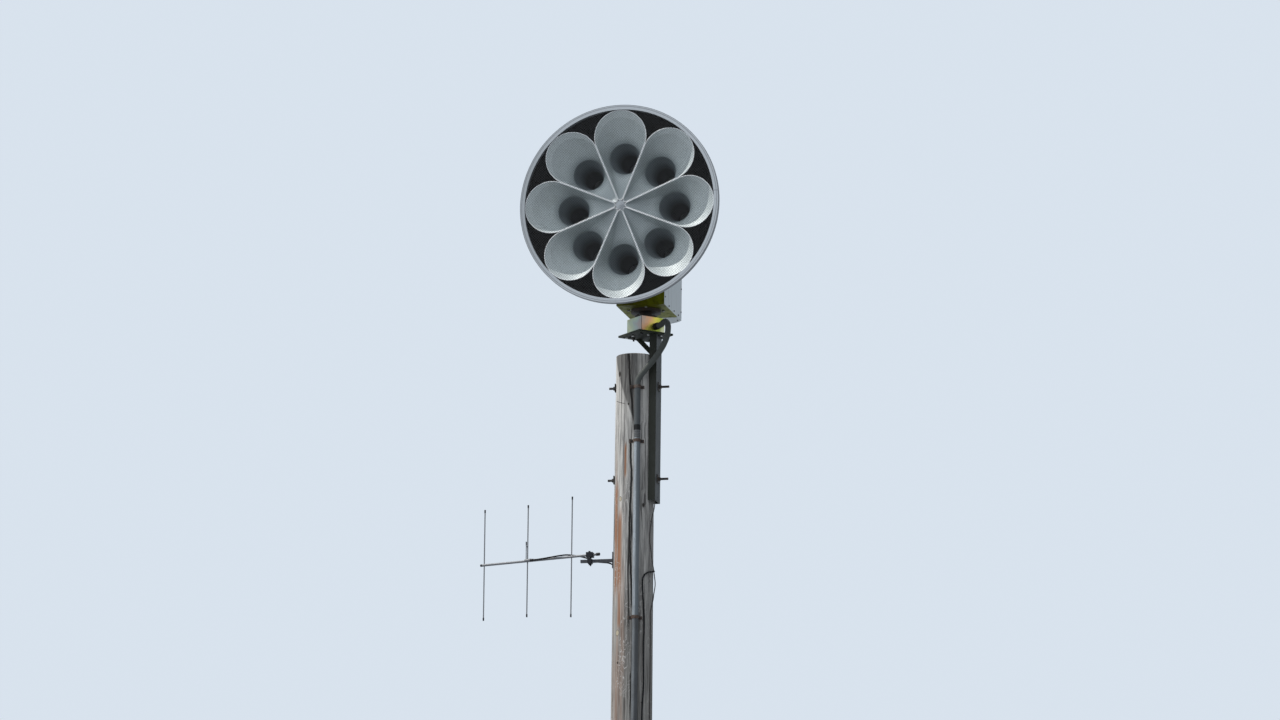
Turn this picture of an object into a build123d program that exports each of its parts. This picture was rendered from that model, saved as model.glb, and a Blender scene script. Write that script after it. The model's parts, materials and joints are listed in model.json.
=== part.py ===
from build123d import *
import math
import os

# Civil defense siren tower: a wood pole with a steel channel post bolted to its top, a rotator box
# on the post, and a siren head with eight horns in one round rim that turns on the rotator.
# Millimetres, +Z up. The origin is the centre of the pole at the ground line.
# At rest the horns face -Y, and the channel post stands on the +X side of the pole.

# Wood pole
POLE_HEIGHT = 13100.0
POLE_TOP_DIA = 260.0
POLE_GROUND_DIA = 350.0
POLE_EDGE = 4.0

# Channel post, a rolled steel channel with its toes against the pole
CHANNEL_DEPTH = 152.4
CHANNEL_FLANGE = 48.8
CHANNEL_FLANGE_THICK = 8.7
CHANNEL_WEB_THICK = 5.1
CHANNEL_BELOW_TOP = 1000.0
CHANNEL_ABOVE_TOP = 137.0
CHANNEL_BITE = 1.9
CHANNEL_HOLE_DIA = 11.0
CHANNEL_HOLE_UP = 28.0

# Threaded rods that clamp the channel to the pole
ROD_DIA = 15.9
ROD_HOLE_DIA = 17.5
ROD_DEPTHS = (213.0, 845.0)
ROD_PAST_POLE = 48.0
ROD_PAST_WEB = 72.0
NUT_FLATS = 23.8
NUT_HEIGHT = 14.0
WASHER_SIDE = 57.0
WASHER_THICK = 5.0
THREAD_GAP = 0.2

# Square mount plate on the post, turned so that one corner points forward
PLATE_SIDE = 268.0
PLATE_THICK = 12.7
PLATE_TURN = 45.0
PLATE_HOLE_DIA = 14.0
PLATE_HOLE_PITCH = 104.0
AXIS_X = 68.0
BRACE_WIDTH = 32.0
BRACE_THICK = 6.0
BRACE_FOOT_DROP = 142.0
BRACE_RUN = 131.0

# Rotator box
BOX_SIDE = 182.0
BOX_HEIGHT = 104.0
BOX_LID_THICK = 3.0
BOX_BOLT_DIA = 9.5
BOX_BOLT_INSET = 13.0
BOX_BOLT_TIP = 14.0
RING_DIA = 150.0
RING_HEIGHT = 20.0
RING_BOLT_CIRCLE = 128.0

# Spindle and flange under the siren head
SPINDLE_DIA = 84.0
SPINDLE_GAP = 0.3
FLANGE_DIA = 200.0
FLANGE_THICK = 22.0
HEAD_UNDERSIDE = 319.0
HEX_BOLT_FLATS = 16.0
HEX_BOLT_HEAD = 7.0

# Head frame: floor plate and front plate
HEAD_WIDTH = 328.0
HEAD_FRONT = 168.0
HEAD_SIDE_LENGTH = 518.0
HEAD_FLOOR_LENGTH = 406.0
HEAD_PLATE = 4.8
HEAD_WALL_HEIGHT = 760.0
COVER_THICK = 2.0
COVER_REAR_BULGE = 90.0
COVER_TOP_RISE = 60.0

# Horn rim and cells
HORN_AXIS_UP = 862.0
RIM_FORWARD = 825.0
RIM_DIA = 1356.0
RIM_BAND = 32.0
RIM_DEPTH = 34.0
CELL_COUNT = 8
CELL_WALL = 2.5
CELL_SET_BACK = 8.0
CELL_JOINT = 0.15
CELL_APEX = 50.0
CELL_RECESS = 30.0
LIP_DEPTH = 22.0
LIP_DRAW = 7.0
SEAT_GAP = 0.3
THROAT_CIRCLE = 348.0
THROAT_DIA = 209.0
THROAT_DEPTH = 150.0
NECK_DIA = 130.0
NECK_DEPTH = 290.0
TUBE_DIA = 108.0
BACK_PLATE_FORWARD = 300.0
BACK_PLATE_THICK = 5.0
BACK_PLATE_DIA = 864.0
CONE_WALL = 2.0
DRUM_WALL = 3.0
HUB_ROD_DIA = 24.0
HUB_BOSS_DEPTH = 30.0
HUB_CAP_DIA = 40.0
HUB_CAP_THICK = 6.0

# Flexible conduit from the rotator box and rigid conduit down the pole
CONDUIT_DIA = 42.2
FLEX_DIA = 40.0
CONDUIT_ANGLE = 19.0
GLAND_DIA = 48.0
GLAND_NECK_DIA = 42.0
GLAND_NUT_AT = 10.0
GLAND_NUT_LENGTH = 20.0
GLAND_LENGTH = 42.7
GLAND_ALONG = 0.603
GLAND_UP = 55.0
FLEX_END_DROP = 500.0
FLEX_FIRST_RUN = 31.0
FLEX_LANDING = 40.0
FLEX_LEAD = 34.0
FLEX_LEAD_SIDE = 19.0
FLEX_LEAD_OUT = 3.0
COLLAR_DIA = 47.0
COLLAR_LENGTH = 35.0
CONNECTOR_LENGTH = 55.0
CONDUIT_LENGTH = 3048.0
COUPLING_DIA = 52.0
COUPLING_LENGTH = 54.0
STRAP_WIDTH = 22.0
STRAP_THICK = 2.5
STRAP_EAR = 26.0
STRAP_FIRST_DROP = 236.0
STRAP_SECOND_DROP = 607.0
STRAP_PITCH = 1203.0
POLE_GAP = 0.3

# Control cabinet at the foot of the pole
CABINET_WIDTH = 600.0
CABINET_HEIGHT = 900.0
CABINET_DEPTH = 300.0
CABINET_WALL = 2.5
CABINET_ABOVE_GROUND = 900.0
CABINET_STANDOFF = 45.0
CABINET_LIP = 20.0
DOOR_THICK = 18.0
BRACKET_HEIGHT = 60.0
BRACKET_WALL = 5.0
BRACKET_FROM_END = 130.0
LATCH_DIA = 34.0
LATCH_THICK = 16.0
HINGE_DIA = 16.0
HINGE_LENGTH = 90.0
HINGE_SHARES = (0.15, 0.5, 0.85)
OFFSET_RISE = 300.0
OFFSET_STRAIGHT = 120.0
OFFSET_BEND = 200.0
CONDUIT_ENTRY_INSET = 70.0
HUB_HEIGHT = 30.0
CABLE_ENTRY_X = 170.0
CABLE_GLAND_DIA = 24.0
BRACKET_BED = 30.0

# Antenna on the left of the pole
ARM_DROP = 1391.0
ARM_SIDE = 20.0
ARM_REACH = 362.0
ARM_FOOT_WIDTH = 50.0
ARM_FOOT_HEIGHT = 110.0
ARM_FOOT_THICK = 5.0
BOOM_RISE = 43.0
BOOM_DIA = 16.0
BOOM_CLAMP_AT = 298.0
BOOM_TURN = 16.5
BOOM_TAIL = 72.0
BOOM_LENGTH = 925.0
ELEMENT_DIA = 8.0
ELEMENT_GAP = 0.2
REFLECTOR_AT = 143.0
DRIVEN_AT = 486.0
DIRECTOR_AT = 825.0
REFLECTOR_LENGTH = 822.0
DRIVEN_LENGTH = 766.0
DIRECTOR_LENGTH = 760.0
SADDLE_WIDTH = 46.0
SADDLE_HEIGHT = 32.0
SADDLE_DEPTH = 50.0
LOWER_SADDLE_WIDTH = 28.0
CLAMP_BOLT_DIA = 8.0
CLAMP_BOLT_SIDE = 18.5
CLAMP_NUT_FLATS = 13.0
CLAMP_NUT_HEIGHT = 7.0
GAMMA_ROD_DIA = 6.0
GAMMA_ROD_LENGTH = 128.0
GAMMA_STRAP_UP = 96.0
GAMMA_PLATE = 8.0
GAMMA_BLOCK_DIA = 22.0
GAMMA_BLOCK_LENGTH = 42.0
GAMMA_BLOCK_AHEAD = 8.0

# Antenna cable and ground wire
CABLE_DIA = 10.0
CABLE_LAST_RISE = 560.0
CABLE_LOOP_RISE = 260.0
CABLE_LOOP_SIDE = 20.0
CABLE_LOOP_BACK = 40.0
CABLE_ENTRY_RISE = 130.0
WIRE_DIA = 6.5
WRAP_STEP = 12.0
WRAP_LIFT = 1.6
WIRE_LIFT = 0.8

# Places worked out from the sizes above
TOP = POLE_HEIGHT
AXIS = (AXIS_X, 0.0)
PLATE_UNDER = TOP + CHANNEL_ABOVE_TOP
BOX_BOTTOM = PLATE_UNDER + PLATE_THICK
BOX_TOP = BOX_BOTTOM + BOX_HEIGHT + BOX_LID_THICK
HEAD_FLOOR = TOP + HEAD_UNDERSIDE
HORN_Z = TOP + HORN_AXIS_UP
RIM_Y = -RIM_FORWARD
CELL_Y = RIM_Y + CELL_SET_BACK
BACK_PLATE_Y = -BACK_PLATE_FORWARD
HALF_ANGLE = math.radians(180.0 / CELL_COUNT)
RIM_OUTER = RIM_DIA / 2
RIM_INNER = RIM_OUTER - RIM_BAND
CABINET_BACK = -(POLE_GROUND_DIA / 2 + CABINET_STANDOFF)
CABINET_FRONT = CABINET_BACK - CABINET_DEPTH
CABINET_TOP = CABINET_ABOVE_GROUND + CABINET_HEIGHT
CONDUIT_ENTRY_Y = CABINET_BACK - CONDUIT_ENTRY_INSET


def pole_radius(z):
    """Radius of the tapered pole at a height above the ground."""
    ground = POLE_GROUND_DIA / 2
    top = POLE_TOP_DIA / 2
    return ground + (top - ground) * z / POLE_HEIGHT


def on_pole(angle, z, stand_off):
    """A point beside the pole's surface. The angle runs from -Y towards +X, in degrees."""
    reach = pole_radius(z) + stand_off
    turn = math.radians(angle)
    return Vector(reach * math.sin(turn), -reach * math.cos(turn), z)


def block(x0, x1, y0, y1, z0, z1):
    """A box between two opposite corners."""
    middle = ((x0 + x1) / 2, (y0 + y1) / 2, (z0 + z1) / 2)
    return Pos(*middle) * Box(x1 - x0, y1 - y0, z1 - z0)


def rod_between(start, end, diameter):
    """A round bar from one point to another."""
    start = Vector(*start)
    end = Vector(*end)
    run = end - start
    plane = Plane(origin=start, z_dir=run.normalized())
    return extrude(plane * Circle(diameter / 2), run.length)


def upright(x, y, z0, z1, diameter):
    """A round bar that stands along Z."""
    return rod_between((x, y, z0), (x, y, z1), diameter)


def hexagon(plane, flats, height):
    """A hexagon nut or bolt head that stands on a plane."""
    shape = plane * RegularPolygon(flats / 2, 6, major_radius=False)
    return extrude(shape, height)


def fillet_radii(points, share=0.45):
    """The largest tangent arc that each corner's shorter run leaves room for."""
    radii = []
    for before, corner, after in zip(points, points[1:], points[2:]):
        first = corner - before
        second = after - corner
        turn = math.radians(first.get_angle(second))
        radii.append(share * min(first.length, second.length) / math.tan(turn / 2))
    return radii


def tube_along(points, diameter, name):
    """A round cable or conduit along straight runs joined by tangent arcs."""
    points = [Vector(*point) for point in points]
    radii = fillet_radii(points)
    path = FilletPolyline(*points, radius=radii)
    start = Plane(origin=points[0], z_dir=(points[1] - points[0]).normalized())
    tube = sweep(start * Circle(diameter / 2), path=path)
    length = sum(edge.length for edge in path.edges())
    share = tube.volume / (length * math.pi * (diameter / 2) ** 2)
    smallest = min(radii) if radii else 0.0
    print(f"{name}: length {length:.0f}, smallest radius {smallest:.0f}, volume share {share:.3f}")
    return tube


def turned_square(half, around, turn):
    """The four corners of a square that is turned about its centre."""
    corners = []
    for u, v in ((half, half), (-half, half), (-half, -half), (half, -half)):
        angle = math.radians(turn)
        x = around[0] + u * math.cos(angle) - v * math.sin(angle)
        y = around[1] + u * math.sin(angle) + v * math.cos(angle)
        corners.append((x, y))
    return corners


# Pole and post

CHANNEL_BOTTOM = TOP - CHANNEL_BELOW_TOP
TOE_Y = CHANNEL_DEPTH / 2 - CHANNEL_FLANGE_THICK
TOE_X = math.sqrt(pole_radius(CHANNEL_BOTTOM) ** 2 - TOE_Y ** 2) - CHANNEL_BITE
WEB_OUTER = TOE_X + CHANNEL_FLANGE


def make_channel():
    """The channel: web on the +X side, flanges with their toes towards the pole."""
    half = CHANNEL_DEPTH / 2
    outer = block(TOE_X, WEB_OUTER, -half, half, CHANNEL_BOTTOM, PLATE_UNDER)
    hollow = block(TOE_X, WEB_OUTER - CHANNEL_WEB_THICK, -TOE_Y, TOE_Y, CHANNEL_BOTTOM, PLATE_UNDER)
    channel = outer - hollow
    for depth in ROD_DEPTHS:
        level = TOP - depth
        channel -= rod_between((TOE_X, 0, level), (WEB_OUTER + 1, 0, level), ROD_HOLE_DIA)
    level = CHANNEL_BOTTOM + CHANNEL_HOLE_UP
    channel -= rod_between((TOE_X, 0, level), (WEB_OUTER + 1, 0, level), CHANNEL_HOLE_DIA)
    return channel


def make_pole():
    """The tapered pole, with the shallow beds that the channel's toes press into it."""
    pole = Pos(0, 0, TOP / 2) * Cone(POLE_GROUND_DIA / 2, POLE_TOP_DIA / 2, TOP)
    pole = chamfer(pole.edges().sort_by(Axis.Z)[-1], POLE_EDGE)
    half = CHANNEL_DEPTH / 2
    for side in (-1, 1):
        y0, y1 = sorted((side * TOE_Y, side * half))
        pole -= block(TOE_X, WEB_OUTER, y0, y1, CHANNEL_BOTTOM, TOP)
    for depth in ROD_DEPTHS:
        level = TOP - depth
        pole -= rod_between((-POLE_GROUND_DIA, 0, level), (POLE_GROUND_DIA, 0, level), ROD_HOLE_DIA)
    return pole


def make_rods():
    """Rods, square washers and nuts of the two clamping bolts."""
    rods = []
    nuts = []
    washers = []
    for depth in ROD_DEPTHS:
        level = TOP - depth
        left = -pole_radius(level - WASHER_SIDE / 2)
        washer_left = left - WASHER_THICK
        washer_right = WEB_OUTER + WASHER_THICK
        right = WEB_OUTER + ROD_PAST_WEB
        rods.append(rod_between((left - ROD_PAST_POLE, 0, level), (right, 0, level), ROD_DIA))
        drill = rod_between((-2 * POLE_GROUND_DIA, 0, level), (2 * POLE_GROUND_DIA, 0, level),
                            ROD_DIA + 2 * THREAD_GAP)
        half = WASHER_SIDE / 2
        washers.append(block(washer_left, left, -half, half, level - half, level + half) - drill)
        washers.append(block(WEB_OUTER, washer_right, -half, half, level - half, level + half) - drill)
        left_plane = Plane(origin=(washer_left, 0, level), x_dir=(0, 1, 0), z_dir=(-1, 0, 0))
        right_plane = Plane(origin=(washer_right, 0, level), x_dir=(0, 1, 0), z_dir=(1, 0, 0))
        nuts.append(hexagon(left_plane, NUT_FLATS, NUT_HEIGHT) - drill)
        nuts.append(hexagon(right_plane, NUT_FLATS, NUT_HEIGHT) - drill)
    return Compound(children=rods), Compound(children=nuts), Compound(children=washers)


def make_plate():
    """The square mount plate with its bolt holes."""
    plate = Pos(AXIS_X, 0, PLATE_UNDER) * Rot(0, 0, PLATE_TURN) * Pos(0, 0, PLATE_THICK / 2) * Box(
        PLATE_SIDE, PLATE_SIDE, PLATE_THICK)
    pitch = PLATE_HOLE_PITCH
    turn = math.radians(PLATE_TURN)
    for u, v in ((pitch, pitch), (-pitch, pitch), (-pitch, -pitch), (pitch, -pitch),
                 (pitch, 0), (-pitch, 0), (0, pitch), (0, -pitch)):
        x = AXIS_X + u * math.cos(turn) - v * math.sin(turn)
        y = u * math.sin(turn) + v * math.cos(turn)
        plate -= upright(x, y, PLATE_UNDER - 1, BOX_BOTTOM + 1, PLATE_HOLE_DIA)
    for x, y in turned_square(BOX_SIDE / 2 - BOX_BOLT_INSET, AXIS, PLATE_TURN):
        plate -= upright(x, y, PLATE_UNDER - 1, BOX_BOTTOM + 1, BOX_BOLT_DIA + 2 * THREAD_GAP)
    return plate


def make_brace():
    """The flat diagonal bar from the channel's far flange out to the plate."""
    foot = PLATE_UNDER - BRACE_FOOT_DROP
    rise = math.atan2(BRACE_FOOT_DROP, BRACE_RUN)
    across = BRACE_WIDTH / math.sin(rise)
    flange = CHANNEL_DEPTH / 2
    corners = [
        (TOE_X + across, flange, foot),
        (TOE_X, flange, foot),
        (TOE_X - BRACE_RUN, flange, PLATE_UNDER),
        (TOE_X - BRACE_RUN + across, flange, PLATE_UNDER),
    ]
    return extrude(make_face(Polyline(*corners, close=True)), BRACE_THICK, dir=(0, 1, 0))


# Rotator

def make_rotator_box():
    """The closed rotator housing, modelled solid."""
    place = Pos(AXIS_X, 0, BOX_BOTTOM + BOX_HEIGHT / 2) * Rot(0, 0, PLATE_TURN)
    box = place * Box(BOX_SIDE, BOX_SIDE, BOX_HEIGHT)
    for x, y in turned_square(BOX_SIDE / 2 - BOX_BOLT_INSET, AXIS, PLATE_TURN):
        hole_top = BOX_BOTTOM + BOX_BOLT_TIP + THREAD_GAP
        box -= upright(x, y, BOX_BOTTOM, hole_top, BOX_BOLT_DIA + 2 * THREAD_GAP)
    return box


def make_rotator_lid():
    """The sheet lid that closes the rotator box."""
    place = Pos(AXIS_X, 0, BOX_TOP - BOX_LID_THICK / 2) * Rot(0, 0, PLATE_TURN)
    return place * Box(BOX_SIDE, BOX_SIDE, BOX_LID_THICK)


def make_box_bolts():
    """Bolts from below that hold the rotator box on the mount plate."""
    bolts = []
    for x, y in turned_square(BOX_SIDE / 2 - BOX_BOLT_INSET, AXIS, PLATE_TURN):
        head = hexagon(Plane(origin=(x, y, PLATE_UNDER - HEX_BOLT_HEAD)), HEX_BOLT_FLATS, HEX_BOLT_HEAD)
        bolts.append(head + upright(x, y, PLATE_UNDER - 1, BOX_BOTTOM + BOX_BOLT_TIP, BOX_BOLT_DIA))
    return Compound(children=bolts)


def make_bearing_ring():
    """The fixed bearing ring on the lid, with its bolt heads."""
    ring = upright(AXIS_X, 0, BOX_TOP, BOX_TOP + RING_HEIGHT, RING_DIA)
    ring -= upright(AXIS_X, 0, BOX_TOP - 1, BOX_TOP + RING_HEIGHT + 1, SPINDLE_DIA + 2 * SPINDLE_GAP)
    for x, y in turned_square(RING_BOLT_CIRCLE / 2 / math.sqrt(2), AXIS, 0):
        ring += hexagon(Plane(origin=(x, y, BOX_TOP + RING_HEIGHT - 1)), HEX_BOLT_FLATS, HEX_BOLT_HEAD + 1)
    return ring


def make_spindle():
    """The turning spindle with the flange that carries the siren head."""
    flange_bottom = HEAD_FLOOR - FLANGE_THICK
    spindle = upright(AXIS_X, 0, BOX_TOP + SPINDLE_GAP, flange_bottom + 1, SPINDLE_DIA)
    return spindle + upright(AXIS_X, 0, flange_bottom, HEAD_FLOOR, FLANGE_DIA)


# Siren head

HEAD_LEFT = AXIS_X - HEAD_WIDTH / 2
HEAD_RIGHT = AXIS_X + HEAD_WIDTH / 2
WALL_TOP = HEAD_FLOOR + HEAD_WALL_HEIGHT
FLOOR_REAR = HEAD_FLOOR_LENGTH - HEAD_FRONT
SIDE_REAR = HEAD_SIDE_LENGTH - HEAD_FRONT


def make_head_frame():
    """Floor plate and front plate of the head, one bent and welded frame."""
    floor = block(HEAD_LEFT, HEAD_RIGHT, -HEAD_FRONT, FLOOR_REAR, HEAD_FLOOR, HEAD_FLOOR + HEAD_PLATE)
    front = block(HEAD_LEFT, HEAD_RIGHT, -HEAD_FRONT, -HEAD_FRONT + HEAD_PLATE, HEAD_FLOOR, WALL_TOP)
    return floor + front


def make_side_cover(side):
    """One flat side cover, outside the frame."""
    edge = HEAD_RIGHT if side > 0 else HEAD_LEFT
    x0, x1 = sorted((edge, edge + side * COVER_THICK))
    return block(x0, x1, -HEAD_FRONT, SIDE_REAR, HEAD_FLOOR, WALL_TOP)


def rear_outline(inset):
    """The bowed outline of the rear cover, seen from above."""
    left = (HEAD_LEFT + inset, SIDE_REAR)
    right = (HEAD_RIGHT - inset, SIDE_REAR)
    middle = (AXIS_X, SIDE_REAR + COVER_REAR_BULGE - inset)
    return ThreePointArc(left, middle, right) + Line(right, left)


def make_rear_cover():
    """The bowed rear cover with its own floor, between the side covers."""
    outer = extrude(Pos(0, 0, HEAD_FLOOR) * make_face(rear_outline(0)), WALL_TOP - HEAD_FLOOR)
    inner = extrude(Pos(0, 0, HEAD_FLOOR + COVER_THICK) * make_face(rear_outline(COVER_THICK)),
                    WALL_TOP - HEAD_FLOOR)
    floor_top = HEAD_FLOOR + COVER_THICK
    floor = block(HEAD_LEFT, HEAD_RIGHT, FLOOR_REAR + COVER_THICK, SIDE_REAR, HEAD_FLOOR, floor_top)
    return outer - inner + floor


def make_top_cover():
    """The arched top cover over the side covers, the front plate and the rear cover."""
    left = HEAD_LEFT - COVER_THICK
    right = HEAD_RIGHT + COVER_THICK
    ends = [(left, WALL_TOP), (right, WALL_TOP)]
    arch = ThreePointArc(ends[0], (AXIS_X, WALL_TOP + COVER_TOP_RISE), ends[1]) + Line(ends[1], ends[0])
    plane = Plane(origin=(0, -HEAD_FRONT, 0), x_dir=(1, 0, 0), z_dir=(0, -1, 0))
    solid = extrude(plane * make_face(arch), -(HEAD_SIDE_LENGTH + COVER_REAR_BULGE))
    inner_ends = [(left + COVER_THICK, WALL_TOP), (right - COVER_THICK, WALL_TOP)]
    inner_crown = (AXIS_X, WALL_TOP + COVER_TOP_RISE - COVER_THICK)
    inner_arch = ThreePointArc(inner_ends[0], inner_crown, inner_ends[1])
    inner_plane = Plane(origin=(0, -HEAD_FRONT + COVER_THICK, 0), x_dir=(1, 0, 0), z_dir=(0, -1, 0))
    hollow = extrude(inner_plane * make_face(inner_arch + Line(inner_ends[1], inner_ends[0])),
                     -(HEAD_SIDE_LENGTH + COVER_REAR_BULGE - 2 * COVER_THICK))
    keep = extrude(Pos(0, 0, WALL_TOP) * make_face(rear_outline(-COVER_THICK)), COVER_TOP_RISE)
    keep += block(left, right, -HEAD_FRONT, SIDE_REAR, WALL_TOP, WALL_TOP + COVER_TOP_RISE)
    keep_inner = extrude(Pos(0, 0, WALL_TOP) * make_face(rear_outline(0)), COVER_TOP_RISE)
    keep_inner += block(left, right, -HEAD_FRONT, SIDE_REAR, WALL_TOP, WALL_TOP + COVER_TOP_RISE)
    return (solid & keep) - (hollow & keep_inner)


# Horns

LIP_REACH = RIM_INNER - SEAT_GAP
CELL_SLOPE = math.sin(HALF_ANGLE)
ARC_CENTRE = LIP_REACH / (1 + CELL_SLOPE)
MOUTH_LEAN = math.atan(CELL_RECESS / LIP_REACH)


def leaned_reach(reach):
    """Distance from the horn's axis of a place on the mouth, once the mouth leans back to the hub."""
    return LIP_REACH - (LIP_REACH - reach) * math.cos(MOUTH_LEAN)


BOSS_RADIUS = leaned_reach(CELL_APEX * (1 - CELL_SLOPE)) - SEAT_GAP
HUB_FACE = CELL_Y + CELL_RECESS * (1 - BOSS_RADIUS / LIP_REACH)


def pear(centre_far, radius_far, centre_near, radius_near, y):
    """A closed outline of a large and a small arc joined by two straight sides, in an upright plane."""
    lean = math.asin((radius_far - radius_near) / (centre_far - centre_near))
    side_x = math.cos(lean)
    side_z = math.sin(lean)

    def point(centre, radius, hand):
        return Vector(hand * radius * side_x, y, centre - radius * side_z)

    far = [point(centre_far, radius_far, hand) for hand in (1, -1)]
    near = [point(centre_near, radius_near, hand) for hand in (1, -1)]
    edges = [
        Line(near[0], far[0]),
        ThreePointArc(far[0], Vector(0, y, centre_far + radius_far), far[1]),
        Line(far[1], near[1]),
        ThreePointArc(near[1], Vector(0, y, centre_near - radius_near), near[0]),
    ]
    return make_face(Wire([edge.edge() for edge in edges]))


def cell_arcs(depth):
    """The far and the near arc of a cell's outside at a depth: distance from the horn's axis, and radius."""
    if depth == 0:
        return [(reach, reach * CELL_SLOPE - CELL_JOINT) for reach in (ARC_CENTRE, CELL_APEX)]
    if depth == LIP_DEPTH:
        share = LIP_DEPTH / THROAT_DEPTH
        pairs = zip(cell_arcs(0), cell_arcs(THROAT_DEPTH))
        (far, far_radius), near = [
            (a + (c - a) * share, b + (d - b) * share) for (a, b), (c, d) in pairs
        ]
        return [(far - LIP_DRAW, far_radius - LIP_DRAW), near]
    diameters = {THROAT_DEPTH: THROAT_DIA, NECK_DEPTH: NECK_DIA}
    radius = diameters.get(depth, TUBE_DIA) / 2 + CELL_WALL
    spread = radius / 10
    return [(THROAT_CIRCLE, radius), (THROAT_CIRCLE - spread, radius - spread * CELL_SLOPE)]


def cell_section(depth, skin):
    """A cell's outline at a depth behind the mouth. The skin is 0 outside and the wall inside.

    The mouth and the lip lean back towards the hub, so that the horn's face is slightly dished."""
    (far, far_radius), (near, near_radius) = cell_arcs(depth)
    outline = pear(far, far_radius - skin, near, near_radius - skin, 0)
    lean = math.degrees(MOUTH_LEAN) if depth <= LIP_DEPTH else 0
    return Pos(0, CELL_Y + depth, LIP_REACH) * Rot(lean, 0, 0) * Pos(0, 0, -LIP_REACH) * outline


def make_cell():
    """One horn cell that points up: a shell from its pear-shaped mouth to its round tube."""
    tube_end = BACK_PLATE_Y - CELL_Y
    depths = [0, LIP_DEPTH, THROAT_DEPTH, NECK_DEPTH, tube_end]
    outer = loft([cell_section(depth, 0) for depth in depths], ruled=True)
    inner = loft([cell_section(depth, CELL_WALL) for depth in depths], ruled=True)
    return outer - inner


def place_on_horn(shape, turn):
    """Turns a piece about the horn's axis and moves it to the horn."""
    return Pos(AXIS_X, 0, HORN_Z) * Rot(0, turn, 0) * shape


def along_horn(y0, y1, diameter):
    """A round bar along the horn's own axis."""
    return rod_between((AXIS_X, y0, HORN_Z), (AXIS_X, y1, HORN_Z), diameter)


def make_rim():
    """The flat rim band around all eight mouths."""
    ring = along_horn(RIM_Y, RIM_Y + RIM_DEPTH, RIM_DIA)
    return ring - along_horn(RIM_Y - 1, RIM_Y + RIM_DEPTH + 1, 2 * RIM_INNER)


def make_horn_shell():
    """The tapered shell that closes the horn from the rim to the back plate."""
    front = RIM_Y + RIM_DEPTH
    length = BACK_PLATE_Y - front
    back_radius = BACK_PLATE_DIA / 2
    plane = Plane(origin=(AXIS_X, front + length / 2, HORN_Z), x_dir=(1, 0, 0), z_dir=(0, 1, 0))
    outer = plane * Cone(RIM_OUTER, back_radius, length)
    inner = plane * Cone(RIM_OUTER - CONE_WALL, back_radius - CONE_WALL, length)
    return outer - inner


def make_back_plate():
    """The plate behind the horn shell, with a hole for each tube."""
    plate = along_horn(BACK_PLATE_Y, BACK_PLATE_Y + BACK_PLATE_THICK, BACK_PLATE_DIA)
    for number in range(CELL_COUNT):
        turn = 2 * HALF_ANGLE * number
        x = AXIS_X + THROAT_CIRCLE * math.sin(turn)
        z = HORN_Z + THROAT_CIRCLE * math.cos(turn)
        plate -= rod_between((x, BACK_PLATE_Y - 1, z), (x, BACK_PLATE_Y + BACK_PLATE_THICK + 1, z),
                             TUBE_DIA - 2 * CELL_WALL)
    return plate


def make_sound_drum():
    """The drum behind the back plate that houses the sound rotor: a round wall with a rear disc."""
    front = BACK_PLATE_Y + BACK_PLATE_THICK
    drum = along_horn(front, -HEAD_FRONT, BACK_PLATE_DIA)
    return drum - along_horn(front - 1, -HEAD_FRONT - DRUM_WALL, BACK_PLATE_DIA - 2 * DRUM_WALL)


def make_hub():
    """The rod along the horn's axis and the boss that the cells' points meet at."""
    boss = along_horn(HUB_FACE, HUB_FACE + HUB_BOSS_DEPTH, 2 * BOSS_RADIUS)
    return boss + along_horn(HUB_FACE, BACK_PLATE_Y, HUB_ROD_DIA)


def make_hub_cap():
    """The round washer and bolt head in the middle of the horn's face."""
    cap = along_horn(HUB_FACE - HUB_CAP_THICK, HUB_FACE, HUB_CAP_DIA)
    plane = Plane(origin=(AXIS_X, HUB_FACE - HUB_CAP_THICK + 1, HORN_Z), x_dir=(1, 0, 0), z_dir=(0, -1, 0))
    return cap + hexagon(plane, HEX_BOLT_FLATS, HEX_BOLT_HEAD)


# Conduit

def conduit_point(z, diameter):
    """The centre of a conduit that lies on the pole, at a height."""
    return on_pole(CONDUIT_ANGLE, z, diameter / 2 + POLE_GAP)


def rigid_point(z):
    """The centre of the rigid conduit, which stands off so that its couplings clear the pole."""
    return on_pole(CONDUIT_ANGLE, z, COUPLING_DIA / 2 + POLE_GAP)


FACE_OUT = Vector(math.sin(math.radians(PLATE_TURN)), -math.cos(math.radians(PLATE_TURN)), 0)
FACE_ALONG = Vector(math.cos(math.radians(PLATE_TURN)), math.sin(math.radians(PLATE_TURN)), 0)
GLAND_BASE = (Vector(AXIS_X, 0, PLATE_UNDER + GLAND_UP) + FACE_OUT * (BOX_SIDE / 2)
              + FACE_ALONG * (BOX_SIDE * (GLAND_ALONG - 0.5)))
GLAND_END = GLAND_BASE + FACE_OUT * GLAND_LENGTH
FLEX_END_Z = TOP - FLEX_END_DROP
CONNECTOR_END_Z = FLEX_END_Z - COLLAR_LENGTH - CONNECTOR_LENGTH


# Bends of the flexible conduit, as steps from the end of the gland
FLEX_BENDS = (
    (58.0, -53.0, 20.0),
    (84.0, -80.0, -12.0),
    (80.0, -70.0, -74.0),
    (54.0, -50.0, -134.0),
    (6.0, -46.0, -212.0),
    (-60.0, -45.0, -289.0),
)


def make_gland():
    """The black connector on the rotator box: a collar and a gland nut."""
    collar = rod_between(GLAND_BASE, GLAND_END, GLAND_NECK_DIA)
    nut_start = GLAND_BASE + FACE_OUT * GLAND_NUT_AT
    nut = rod_between(nut_start, nut_start + FACE_OUT * GLAND_NUT_LENGTH, GLAND_DIA)
    return collar + nut


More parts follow.
